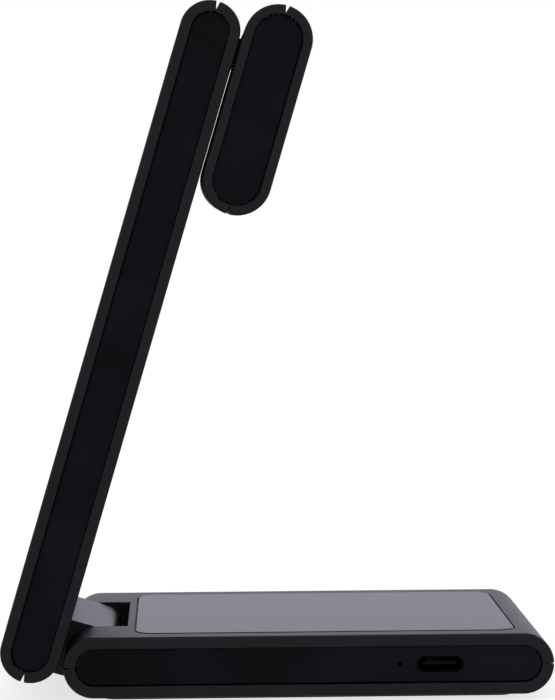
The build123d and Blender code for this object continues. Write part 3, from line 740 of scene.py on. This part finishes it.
def half_shell(slab):
    """One moulded half of a slab: rounded ends, softened rims, a groove and a seam at each tip."""
    size = sizes()
    length, thick, half_depth = slab.length, slab.thick, size.depth / 2
    straight = (length - thick) / 2
    add_slot_block(0.0, length, thick, -half_depth, half_depth, size.cap_steps)
    pick_faces(lambda middle, normal: abs(normal.y) > 0.9)
    bpy.ops.mesh.delete(type="FACE")
    shell = object_mode()
    wall = shell.modifiers.new("wall", "SOLIDIFY")
    wall.thickness = size.wall
    wall.offset = -1.0
    wall.use_even_offset = True
    apply_modifier(shell, wall)
    edit_mode()
    keep_side((0.0, 0.0, size.parting_gap / 2), (0.0, 0.0, -1.0))
    for end in (-1.0, 1.0):
        bottom = (end * (length / 2 - size.groove_depth), 0.0, 0.0)
        keep_side(bottom, (end * slab.groove / 2, 0.0, -size.groove_depth))
    shell = object_mode()
    opening = 2 * slab.rim
    panel_back = half_depth - size.panel_sink - size.panel_thick
    for low, high in ((-size.depth, -panel_back), (panel_back, size.depth)):
        add_slot_block(0.0, length - opening, thick - opening, low, high, size.cap_steps)
        cut(shell, object_mode())
    edit_mode()

    def reach(point):
        return math.hypot(max(abs(point.x) - straight, 0.0), point.z)

    def on_rim(point, radius):
        return abs(abs(point.y) - half_depth) < NEAR and abs(reach(point) - radius) < 2 * NEAR

    for radius, width, segments in (
        (thick / 2, size.rim_round, 5),
        (thick / 2 - slab.rim, size.rim_inner_round, 3),
    ):
        pick_edges(lambda a, b: a.y * b.y > 0 and on_rim(a, radius) and on_rim(b, radius))
        round_edges(width, segments)
    seam_height = size.parting_gap / 2 + NEAR
    pick_edges(lambda a, b: a.y * b.y > 0 and all(
        abs(p.y) > half_depth - NEAR and p.z < seam_height for p in (a, b)
    ))
    round_edges(size.seam, 1)
    return object_mode()


def housing_tool(slab, start, end, low, high):
    """Solid filling of a half shell that carries a hinge axle, between two lengths and two depths."""
    size = sizes()
    overlap = size.wall / 4
    add_slot_block(
        0.0, slab.length - 2 * size.wall + 2 * overlap, slab.thick - 2 * size.wall + 2 * overlap, low, high,
        size.cap_steps,
    )
    keep_side((start, 0.0, 0.0), (-1.0, 0.0, 0.0))
    keep_side((end, 0.0, 0.0), (1.0, 0.0, 0.0))
    keep_side((0.0, 0.0, size.parting_gap / 2), (0.0, 0.0, -1.0))
    return object_mode()


def bore_tool(x, radius):
    """Bore of a hinge axle across a slab."""
    size = sizes()
    half_length = size.notch_width / 2 + size.cheek * BORE_SHARE
    return rod_tool((x, 0.0, 0.0), radius, 2 * half_length, (math.pi / 2, 0.0, 0.0), BORE_STEPS)


def seat_tool(middle, length, width, outside, sink, radius):
    """Seat of a sheet in a broad face."""
    add_rounded_sheet(middle, length, width, outside - sink, outside + sink, radius)
    return object_mode()


def soften_mouth(piece, outside, middle, length, width, offset):
    """Soften the edge of a seat where it meets the broad face."""
    reopen(piece)
    pick_edges(lambda a, b: all(
        abs(p.z - outside) < NEAR and abs(p.x - middle) < length / 2 + NEAR and abs(p.y) < width / 2 + NEAR
        for p in (a, b)
    ))
    round_edges(offset, 2)
    object_mode()


def pad_places(size):
    """Middle, length and width of the two inlays' seats."""
    width = size.depth - 2 * size.pad_margin
    base_length = size.base_length - size.base_pad_start - size.base_pad_end
    base_middle = (size.base_pad_start - size.base_pad_end) / 2
    phone_length = size.upright_length - 2 * size.phone_pad_end
    return {"base": (base_middle, base_length, width), "upright": (0.0, phone_length, width)}


class CHARGER_OT_base_shells(bpy.types.Operator):
    """Model the two half shells of the base"""

    bl_idname = "charger.base_shells"
    bl_label = "Base shells"

    def execute(self, context):
        size = sizes()
        slab = base_slab()
        outside = slab.thick / 2
        middle, length, width = pad_places(size)["base"]
        upper = self.hinged_half(slab)
        cut(upper, seat_tool(middle, length, width, outside, size.pad_sink, size.pad_round))
        soften_mouth(upper, outside, middle, length, width, size.pad_mouth)
        hand_over(
            upper, "base_top_moulding", slab.outer, "base", ["base_upper_shell"], shell_plastic()
        )
        lower = self.hinged_half(slab)
        cut(lower, foot_tool(outside - size.foot_sink, outside + size.foot_sink, size.pad_line))
        hand_over(
            lower, "base_bottom_moulding", slab.inner, "base", ["base_lower_shell"], shell_plastic()
        )
        return {"FINISHED"}

    def hinged_half(self, slab):
        """Half of the base with its hinge notch between two cheeks."""
        size = sizes()
        hinge_x = (slab.thick - slab.length) / 2
        notch_x = hinge_x + size.notch_reach
        half_notch = size.notch_width / 2
        half = half_shell(slab)
        join(half, housing_tool(
            slab, -slab.length, notch_x + size.wall, -half_notch - size.cheek, half_notch + size.cheek
        ))
        cut(half, block_tool((-slab.length, -half_notch, -slab.thick), (notch_x, half_notch, slab.thick)))
        cut(half, bore_tool(hinge_x, size.lower_bore))
        return half


def foot_tool(low, high, margin):
    """Sheet in the foot's outline, cut back round the hinge notch."""
    size = sizes()
    length = size.base_length - 2 * size.foot_end + 2 * margin
    width = size.depth - 2 * size.foot_margin + 2 * margin
    add_rounded_sheet(0.0, length, width, low, high, size.foot_round + margin)
    sheet = object_mode()
    hinge_x = (size.base_thick - size.base_length) / 2
    notch_x = hinge_x + size.notch_reach + size.foot_notch - margin
    half_notch = size.notch_width / 2 + size.foot_notch - margin
    cut(sheet, block_tool((-length, -half_notch, low - size.depth), (notch_x, half_notch, high + size.depth)))
    return sheet


class CHARGER_OT_upright_shells(bpy.types.Operator):
    """Model the two half shells of the upright"""

    bl_idname = "charger.upright_shells"
    bl_label = "Upright shells"

    def execute(self, context):
        size = sizes()
        slab = upright_slab()
        outside = slab.thick / 2
        middle, length, width = pad_places(size)["upright"]
        front = half_shell(slab)
        cut(front, seat_tool(middle, length, width, outside, size.pad_sink, size.pad_round))
        soften_mouth(front, outside, middle, length, width, size.pad_mouth)
        hand_over(
            front, "upright_front_moulding", slab.outer, "upright", ["upright_front_shell"],
            shell_plastic(),
        )
        back = half_shell(slab)
        half_window = size.notch_width / 2 - size.hinge_gap + size.window_fit
        heel_x = size.heel_drop - slab.length / 2
        cut(back, block_tool(
            (-slab.length, -half_window, -slab.thick),
            (heel_x + size.knuckle_head + size.window_fit, half_window, slab.thick),
        ))
        axis_x = heel_x + slab.length - size.heel_drop + size.pod_rise - size.pod_thick / 2
        cut(back, block_tool(
            (axis_x - size.arm_bottom - size.window_fit, -half_window, outside - 2 * size.wall),
            (axis_x - size.arm_top + size.window_fit, half_window, slab.thick),
        ))
        hand_over(
            back, "upright_back_moulding", slab.inner, "upright", ["upright_back_shell"],
            shell_plastic(),
        )
        return {"FINISHED"}


class CHARGER_OT_pod_shells(bpy.types.Operator):
    """Model the two half shells of the watch pod"""

    bl_idname = "charger.pod_shells"
    bl_label = "Pod shells"

    def execute(self, context):
        size = sizes()
        slab = pod_slab()
        axis_x = (slab.length - slab.thick) / 2
        notch_x = axis_x - size.arm_bottom - size.arm_gap
        half_notch = size.notch_width / 2
        inner = half_shell(slab)
        join(inner, housing_tool(
            slab, notch_x - size.wall, slab.length, -half_notch - size.cheek, half_notch + size.cheek
        ))
        cut(inner, block_tool((notch_x, -half_notch, -slab.thick), (slab.length, half_notch, slab.thick)))
        cut(inner, bore_tool(axis_x, size.upper_bore))
        hand_over(
            inner, "pod_inner_moulding", slab.outer, "watch_pod", ["pod_inner_shell"],
            shell_plastic(),
        )
        outer = half_shell(slab)
        cheek_x = axis_x - slab.thick / 2 + size.wall
        for low in (-half_notch - size.cheek, half_notch):
            join(outer, housing_tool(slab, cheek_x, slab.length, low, low + size.cheek))
        cut(outer, bore_tool(axis_x, size.upper_bore))
        hole = (-size.puck_shift, 0.0, slab.thick / 2)
        hole_radius = size.puck_radius + size.puck_fit
        cut(outer, rod_tool(hole, hole_radius, 3 * size.wall, (0.0, 0.0, 0.0), DISH_STEPS))
        hand_over(
            outer, "pod_outer_moulding", slab.inner, "watch_pod", ["pod_outer_shell"],
            shell_plastic(),
        )
        return {"FINISHED"}


class CHARGER_OT_side_panels(bpy.types.Operator):
    """Model the side panels, with the port and the light in the base's near one"""

    bl_idname = "charger.side_panels"
    bl_label = "Side panels"

    def execute(self, context):
        play = sizes().panel_play
        for slab, name, shift in (
            (base_slab(), "base", play), (upright_slab(), "upright", -play), (pod_slab(), "pod", play)
        ):
            for side, side_name in ((-1.0, "near"), (1.0, "far")):
                panel = self.plate(slab, side, shift)
                if (name, side_name) == ("base", "near"):
                    self.open_port(panel)
                hand_over(
                    panel, f"{name}_{side_name}_plate", slab.outer, slab.body,
                    [f"{name}_{side_name}_panel"], panel_plastic(),
                )
        return {"FINISHED"}

    def plate(self, slab, side, shift):
        """Plate with rounded ends and a softened outer edge, moved a hair through the slab's thickness."""
        size = sizes()
        margin = 2 * (slab.rim + size.panel_fit)
        face = side * (size.depth / 2 - size.panel_sink)
        back = face - side * size.panel_thick
        add_slot_block(
            0.0, slab.length - margin, slab.thick - margin, min(face, back), max(face, back), size.cap_steps
        )
        pick_level("y", face)
        round_edges(size.panel_edge, 3)
        bpy.ops.mesh.select_all(action="SELECT")
        bpy.ops.transform.translate(value=(0.0, 0.0, shift))
        return object_mode()

    def open_port(self, panel):
        """Cut the port and the light hole, and soften the port's mouth."""
        size = sizes()
        port_x = size.base_length / 2 - size.port_margin
        face = size.panel_sink - size.depth / 2
        half_width = size.port_width / 2
        add_slot_block(port_x, size.port_width, size.port_height, -size.depth, 0.0, PORT_STEPS)
        cut(panel, object_mode())
        light = (port_x - size.light_spacing, face, 0.0)
        cut(panel, rod_tool(
            light, size.light_radius, 4 * size.panel_thick, (math.pi / 2, 0.0, 0.0), LIGHT_STEPS
        ))
        reopen(panel)
        pick_edges(lambda a, b: all(
            abs(p.y - face) < NEAR and abs(p.x - port_x) < half_width + NEAR
            and abs(p.z) < size.port_height / 2 + NEAR for p in (a, b)
        ))
        round_edges(size.port_mouth, 2)
        object_mode()


class CHARGER_OT_pads(bpy.types.Operator):
    """Model the smooth inlays for the earbuds and the phone"""

    bl_idname = "charger.pads"
    bl_label = "Inlays"

    def execute(self, context):
        size = sizes()
        for slab, node in ((base_slab(), "earbud_pad"), (upright_slab(), "phone_pad")):
            middle, length, width = pad_places(size)[slab.body]
            outside = slab.thick / 2
            top = outside + size.pad_proud
            add_rounded_sheet(
                middle, length - 2 * size.pad_line, width - 2 * size.pad_line, outside - size.pad_sink, top,
                size.pad_round - size.pad_line,
            )
            pick_level("z", top)
            round_edges(size.pad_edge, 4)
            hand_over(
                object_mode(), f"{node}_inlay", slab.outer, slab.body, [node], pad_plastic()
            )
        return {"FINISHED"}


class CHARGER_OT_knuckles(bpy.types.Operator):
    """Soften the edges of the hinge knuckles"""

    bl_idname = "charger.knuckles"
    bl_label = "Hinge knuckles"

    def execute(self, context):
        for node in ("lower_knuckle", "upper_knuckle"):
            knuckle = bpy.data.objects.new(f"{node}_block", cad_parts[node].data.copy())
            context.scene.collection.objects.link(knuckle)
            bpy.ops.object.select_all(action="DESELECT")
            reopen(knuckle)
            bpy.ops.mesh.select_all(action="SELECT")
            bpy.ops.mesh.remove_doubles(threshold=NEAR / 10)
            bpy.ops.mesh.customdata_custom_splitnormals_clear()
            bpy.ops.mesh.dissolve_limited(angle_limit=FLAT_ANGLE)
            object_mode()
            soften_edges(knuckle, sizes().knuckle_edge, 3, SHARP_ANGLE)
            hand_over(
                knuckle, f"{node}_block", Matrix.Identity(4), "upright", [node], knuckle_plastic()
            )
        return {"FINISHED"}


class CHARGER_OT_watch_dish(bpy.types.Operator):
    """Model the polished dish that the watch rests on"""

    bl_idname = "charger.watch_dish"
    bl_label = "Watch dish"

    def execute(self, context):
        size = sizes()
        slab = pod_slab()
        face = slab.thick / 2
        seat = face - size.wall
        flange = size.puck_flange_thick
        bpy.ops.object.select_all(action="DESELECT")
        bpy.ops.mesh.primitive_cylinder_add(
            vertices=DISH_STEPS, radius=size.puck_radius, depth=face - seat + flange,
            location=(-size.puck_shift, 0.0, (face + seat - flange) / 2),
        )
        bpy.ops.object.transform_apply(location=True, rotation=True, scale=True)
        edit_mode()
        pick_level("z", face)
        round_edges(size.puck_rim, 5)
        self.hollow(size, face)
        dish = object_mode()
        back = (-size.puck_shift, 0.0, seat - flange / 2)
        join(dish, rod_tool(back, size.puck_radius + size.puck_flange, flange, (0.0, 0.0, 0.0), DISH_STEPS))
        hand_over(dish, "watch_dish", slab.inner, "watch_pod", ["watch_puck"], self.polish())
        return {"FINISHED"}

    def hollow(self, size, face):
        """Sink the dish, ring by ring."""
        radius = size.puck_radius - size.puck_rim
        ring_share = 0.98
        pick_faces(lambda middle, normal: normal.z > 0.99 and middle.z > face - NEAR)
        for ring in range(DISH_RINGS):
            outer = radius * (1 - ring / DISH_RINGS)
            inner = radius * (1 - (ring + ring_share) / DISH_RINGS)
            drop = size.puck_dish * ((outer**2 - inner**2) / radius**2)
            bpy.ops.mesh.inset(thickness=outer - inner, depth=-drop, use_even_offset=False)

    def polish(self):
        """Polished plastic with fine scratches from use."""
        finish = finishes()
        material, tree, shader, vector = new_material("dish_polish", 1.45)
        grain = place_group(tree, "moulded_grain", vector, grain_scale=900.0, patch_scale=90.0)
        paint_between(
            tree, shader, grain.outputs["Patches"], shade(finish.puck_colour, 0.85),
            shade(finish.puck_colour, 1.15),
        )
        rough_between(tree, shader, grain.outputs["Patches"], 0.12, 0.2)
        bump(tree, shader, grain.outputs["Height"], 0.03, SCRATCH_HEIGHT)
        return material


class CHARGER_OT_foot(bpy.types.Operator):
    """Model the rubber foot under the base"""

    bl_idname = "charger.foot"
    bl_label = "Rubber foot"

    def execute(self, context):
        size = sizes()
        slab = base_slab()
        bottom = slab.thick / 2 + size.foot_proud
        foot = foot_tool(slab.thick / 2 - size.foot_sink, bottom, 0.0)
        reopen(foot)
        pick_level("z", bottom)
        round_edges(size.foot_edge, 3)
        pick_faces(lambda middle, normal: normal.z > 0.99 and middle.z > bottom - NEAR)
        for across, rise in (
            (size.foot_border, 0.0), (size.channel_slope, -size.channel_depth),
            (size.channel_width, 0.0), (size.channel_slope, size.channel_depth),
        ):
            bpy.ops.mesh.inset(thickness=across, depth=rise)
        hand_over(object_mode(), "rubber_foot", slab.inner, "base", ["foot_pad"], self.rubber())
        return {"FINISHED"}

    def rubber(self):
        """Dull rubber with a fine pebbled face."""
        finish = finishes()
        return flecked("foot_rubber", finish.foot_colour, 0.8, ior=1.35, scale=1400.0, contrast=0.2)


class CHARGER_OT_port(bpy.types.Operator):
    """Model the charging port's shell, tongue and contacts, and finish the light pipe"""

    bl_idname = "charger.port"
    bl_label = "Charging port"

    def execute(self, context):
        size = sizes()
        slab = base_slab()
        port_x = size.base_length / 2 - size.port_margin
        self.sleeve(size, slab, port_x)
        self.tongue(size, slab, port_x)
        self.contacts(size, slab, port_x)
        dress(["light_pipe"], self.smoky_pipe())
        return {"FINISHED"}

    def sleeve(self, size, slab, port_x):
        """Drawn metal sleeve with a softened mouth."""
        wall = size.sleeve_wall
        mouth = size.panel_sink + size.sleeve_sink - size.depth / 2
        back = mouth + size.sleeve_length
        width = size.port_width - 2 * size.port_fit
        height = size.port_height - 2 * size.port_fit
        add_slot_block(port_x, width, height, mouth, back, PORT_STEPS)
        sleeve = object_mode()
        add_slot_block(
            port_x, width - 2 * wall, height - 2 * wall, mouth - wall, back - 2 * wall, PORT_STEPS
        )
        cut(sleeve, object_mode())
        reopen(sleeve)
        pick_level("y", mouth)
        round_edges(wall / 3, 2)
        metal = brushed_metal("dark_plating", finishes().sleeve_colour, Matrix.Identity(4), 0.5, 1800.0)
        hand_over(object_mode(), "port_sleeve", slab.outer, "base", ["port_shell"], metal)

    def tongue(self, size, slab, port_x):
        """Tongue with rounded sides and a chamfered front."""
        front = self.tongue_front(size)
        half_width, half_height = size.tongue_width / 2, size.tongue_height / 2
        add_block(
            (port_x - half_width, front, -half_height),
            (port_x + half_width, front + size.tongue_length, half_height),
        )
        pick_edges(lambda a, b: abs(a.y - b.y) > half_width)
        round_edges(half_height / 2, 3)
        pick_level("y", front)
        round_edges(half_height / 3, 2)
        plastic = moulded_plastic(
            "tongue_plastic", finishes().tongue_colour, 0.5, ior=1.15, grain_scale=3000.0, relief=0.05
        )
        hand_over(
            object_mode(), "port_tongue_blade", slab.outer, "base", ["port_tongue"], plastic
        )

    def tongue_front(self, size):
        """Depth of the tongue's front, from the middle of the base."""
        return size.panel_sink + size.sleeve_sink + size.tongue_sink - size.depth / 2

    def contacts(self, size, slab, port_x):
        """Two rows of contact strips on the tongue."""
        half_width = size.contact_width / 2
        start = port_x - size.contact_pitch * (size.contact_count - 1) / 2
        front = self.tongue_front(size) + size.contact_sink
        face = size.tongue_height / 2
        low, high = face - size.contact_proud, face + size.contact_proud
        add_block((start - half_width, front, low), (start + half_width, front + size.contact_length, high))
        pick_edges(lambda a, b: min(a.z, b.z) > face)
        round_edges(size.contact_edge, 1)
        strip = object_mode()
        row = strip.modifiers.new("row", "ARRAY")
        row.count = size.contact_count
        row.use_relative_offset = False
        row.use_constant_offset = True
        row.constant_offset_displace = (size.contact_pitch, 0.0, 0.0)
        apply_modifier(strip, row)
        sides = strip.modifiers.new("sides", "MIRROR")
        sides.use_axis = (False, False, True)
        sides.use_mirror_merge = False
        apply_modifier(strip, sides)
        edit_mode()
        bpy.ops.mesh.select_all(action="SELECT")
        bpy.ops.mesh.normals_make_consistent(inside=False)
        gold = brushed_metal("contact_plating", finishes().contact_colour, Matrix.Identity(4), 0.35, 2500.0)
        hand_over(object_mode(), "port_contacts", slab.outer, "base", [], gold)

    def smoky_pipe(self):
        """Smoky clear plastic of the light pipe, dark while the light is off."""
        material, tree, shader, vector = new_material("smoky_pipe", 1.04)
        grain = place_group(tree, "moulded_grain", vector, grain_scale=1500.0, patch_scale=700.0)
        paint_between(tree, shader, grain.outputs["Patches"], (0.001, 0.001, 0.001), (0.002, 0.002, 0.002))
        rough_between(tree, shader, grain.outputs["Patches"], 0.25, 0.4)
        return material


def dress(names, material):
    """Give CAD nodes one material all over."""
    for name in names:
        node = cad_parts[name]
        node.data.materials.clear()
        node.data.materials.append(material)


class CHARGER_OT_inner_works(bpy.types.Operator):
    """Finish the coils, shields, boards and metal parts inside"""

    bl_idname = "charger.inner_works"
    bl_label = "Inner works"

    def execute(self, context):
        finish = finishes()
        size = sizes()
        base, upright, pod = base_slab(), upright_slab(), pod_slab()
        pad_middle = pad_places(size)["base"][0]
        for node, slab, shift in (
            ("earbud_coil", base, pad_middle),
            ("phone_coil", upright, size.phone_coil_rise),
            ("watch_coil", pod, -size.puck_shift),
        ):
            place = slab.outer @ Matrix.Translation((shift, 0.0, 0.0))
            dress([node], self.windings(f"{node}_windings", finish.copper_colour, place))
        dress(
            ["earbud_ferrite", "phone_ferrite", "watch_ferrite"],
            flecked("sintered_ferrite", finish.ferrite_colour, 0.65, ior=1.5, scale=2600.0, contrast=0.35),
        )
        dress(
            ["base_circuit_board", "upright_circuit_board", "pod_circuit_board"],
            flecked("solder_mask", finish.board_colour, 0.4, ior=1.5, scale=420.0, contrast=0.22),
        )
        dress(
            ["base_board_parts", "upright_board_parts", "pod_board_parts"],
            moulded_plastic(
                "chip_packages", finish.chip_colour, 0.5, ior=1.5, grain_scale=4200.0, relief=0.2
            ),
        )
        dress(["ballast_plate"], brushed_metal("ballast_steel", finish.steel_colour, base.outer, 0.4, 900.0))
        dress(
            ["lower_hinge_pin", "upper_hinge_pin", "lower_friction_bush", "upper_friction_bush"],
            brushed_metal(
                "axle_steel", finish.steel_colour, Matrix.Rotation(math.pi / 2, 4, "Z"), 0.3, 1400.0
            ),
        )
        dress(
            ["base_screws", "knuckle_screws", "upright_screws"],
            brushed_metal("screw_steel", shade(finish.steel_colour, 0.8), Matrix.Identity(4), 0.35, 2200.0),
        )
        dress(
            ["phone_magnets", "watch_magnet"],
            brushed_metal("magnet_plating", finish.magnet_colour, upright.outer, 0.25, 700.0),
        )
        return {"FINISHED"}

    def windings(self, name, colour, place):
        """Enamelled copper wire, wound flat."""
        material, tree, shader, vector = new_material(name, 1.45, place)
        shader.inputs["Metallic"].default_value = 1.0
        shader.inputs["Coat Weight"].default_value = 0.6
        wires = place_group(tree, "coil_windings", vector, turns=1 / sizes().wire_pitch)
        paint_between(tree, shader, wires.outputs["Gaps"], colour, shade(colour, 0.15))
        rough_between(tree, shader, wires.outputs["Gaps"], 0.3, 0.7)
        bump(tree, shader, wires.outputs["Height"], 0.6, WIRE_HEIGHT)
        return material


class CHARGER_OT_stage(bpy.types.Operator):
    """Set up the camera, the white room and the pale floor"""

    bl_idname = "charger.stage"
    bl_label = "Stage"

    def execute(self, context):
        scene = context.scene
        stage = scene.charger_stage
        scene.view_settings.view_transform = "Standard"
        self.add_camera(scene, stage)
        self.add_room(scene, stage)
        self.add_back_light(scene, stage)
        self.add_floor(stage)
        return {"FINISHED"}

    def add_camera(self, scene, stage):
        """Camera at the photo's place and angle."""
        yaw, pitch, roll = stage.camera_yaw, stage.camera_pitch, stage.camera_roll
        level = Matrix(((1, 0, 0), (0, 0, -1), (0, 1, 0)))
        turn = Matrix(((math.cos(yaw), 0, -math.sin(yaw)), (0, 1, 0), (math.sin(yaw), 0, math.cos(yaw))))
        tilt = Matrix((
            (1, 0, 0), (0, math.cos(pitch), -math.sin(pitch)), (0, math.sin(pitch), math.cos(pitch))
        ))
        spin = Matrix(((math.cos(roll), -math.sin(roll), 0), (math.sin(roll), math.cos(roll), 0), (0, 0, 1)))
        right, down, ahead = spin @ tilt @ turn @ level
        facing = Matrix((right, -down, -ahead)).transposed().to_4x4()
        camera = bpy.data.cameras.new("camera")
        camera.sensor_width = CAMERA_SENSOR
        camera.lens = CAMERA_SENSOR * stage.focal_pixels / PHOTO_LONG_SIDE
        camera.clip_start = 0.01
        camera_object = bpy.data.objects.new("camera", camera)
        camera_object.matrix_world = Matrix.Translation(stage.camera_place) @ facing
        scene.collection.objects.link(camera_object)
        scene.camera = camera_object

    def add_room(self, scene, stage):
        """White room that lights the charger evenly from all sides."""
        world = bpy.data.worlds.new("white_room")
        scene.world = world
        world.use_nodes = True
        background = world.node_tree.nodes["Background"]
        background.inputs["Color"].default_value = (*stage.room_colour, 1.0)
        background.inputs["Strength"].default_value = 1.0

    def add_back_light(self, scene, stage):
        """Weak cool light from behind, which tints the glancing reflections."""
        lamp = bpy.data.lights.new("back_light", "AREA")
        lamp.shape = "RECTANGLE"
        lamp.size, lamp.size_y = stage.back_light_size
        lamp.energy = stage.back_light_power
        lamp.color = stage.back_light_colour
        lamp_object = bpy.data.objects.new("back_light", lamp)
        lamp_object.location = stage.back_light_place
        lamp_object.rotation_euler = (-math.pi / 2, 0.0, 0.0)
        lamp_object.visible_camera = False
        scene.collection.objects.link(lamp_object)

    def add_floor(self, stage):
        """Pale floor that the camera sees as white, with the charger's soft shadow."""
        bpy.ops.object.select_all(action="DESELECT")
        bpy.ops.mesh.primitive_plane_add(size=12.0, location=(0, 0, -stage.floor_drop))
        floor = bpy.context.object
        floor.name = "floor"
        bpy.ops.object.transform_apply(location=True, rotation=True, scale=True)
        material, tree, shader, _ = new_material("floor_white", 1.45)
        shader.inputs["Base Color"].default_value = (*stage.floor_colour, 1.0)
        shader.inputs["Roughness"].default_value = 0.9
        shader.inputs["Specular IOR Level"].default_value = 0.0
        shader.inputs["Emission Color"].default_value = (1.0, 1.0, 1.0, 1.0)
        paths = add_node(tree, "ShaderNodeLightPath")
        seen = paths.outputs["Is Camera Ray"]
        for kind in ("Is Glossy Ray", "Is Transmission Ray"):
            either = add_node(tree, "ShaderNodeMath", operation="MAXIMUM")
            tree.links.new(seen, either.inputs[0])
            tree.links.new(paths.outputs[kind], either.inputs[1])
            seen = either.outputs[0]
        lift = map_range(tree, seen, 0.0, 1.0, 0.0, stage.floor_lift)
        tree.links.new(lift, shader.inputs["Emission Strength"])
        floor.data.materials.append(material)


class CHARGER_PT_panel(bpy.types.Panel):
    """The dressing steps, in order"""

    bl_idname = "CHARGER_PT_panel"
    bl_label = "Charger"
    bl_space_type = "VIEW_3D"
    bl_region_type = "UI"
    bl_category = "Charger"

    def draw(self, context):
        for step in STEPS:
            self.layout.operator(step.bl_idname)


STEPS = (
    CHARGER_OT_base_shells,
    CHARGER_OT_upright_shells,
    CHARGER_OT_pod_shells,
    CHARGER_OT_side_panels,
    CHARGER_OT_pads,
    CHARGER_OT_knuckles,
    CHARGER_OT_watch_dish,
    CHARGER_OT_foot,
    CHARGER_OT_port,
    CHARGER_OT_inner_works,
    CHARGER_OT_stage,
)
CLASSES = (ChargerSizes, ChargerFinish, ChargerStage, *STEPS, CHARGER_PT_panel)


def register():
    """Make the add-on's classes and settings known."""
    for cls in CLASSES:
        bpy.utils.register_class(cls)
    bpy.types.Scene.charger_sizes = PointerProperty(type=ChargerSizes)
    bpy.types.Scene.charger_finish = PointerProperty(type=ChargerFinish)
    bpy.types.Scene.charger_stage = PointerProperty(type=ChargerStage)


def unregister():
    """Take the add-on's classes and settings away again."""
    del bpy.types.Scene.charger_stage
    del bpy.types.Scene.charger_finish
    del bpy.types.Scene.charger_sizes
    for cls in reversed(CLASSES):
        bpy.utils.unregister_class(cls)


def main():
    """Dress the charger, set the stage and note the sizes."""
    register()
    bpy.ops.charger.base_shells()
    bpy.ops.charger.upright_shells()
    bpy.ops.charger.pod_shells()
    bpy.ops.charger.side_panels()
    bpy.ops.charger.pads()
    bpy.ops.charger.knuckles()
    bpy.ops.charger.watch_dish()
    bpy.ops.charger.foot()
    bpy.ops.charger.port()
    bpy.ops.charger.inner_works()
    bpy.ops.charger.stage()


if __name__ == "__main__":
    main()
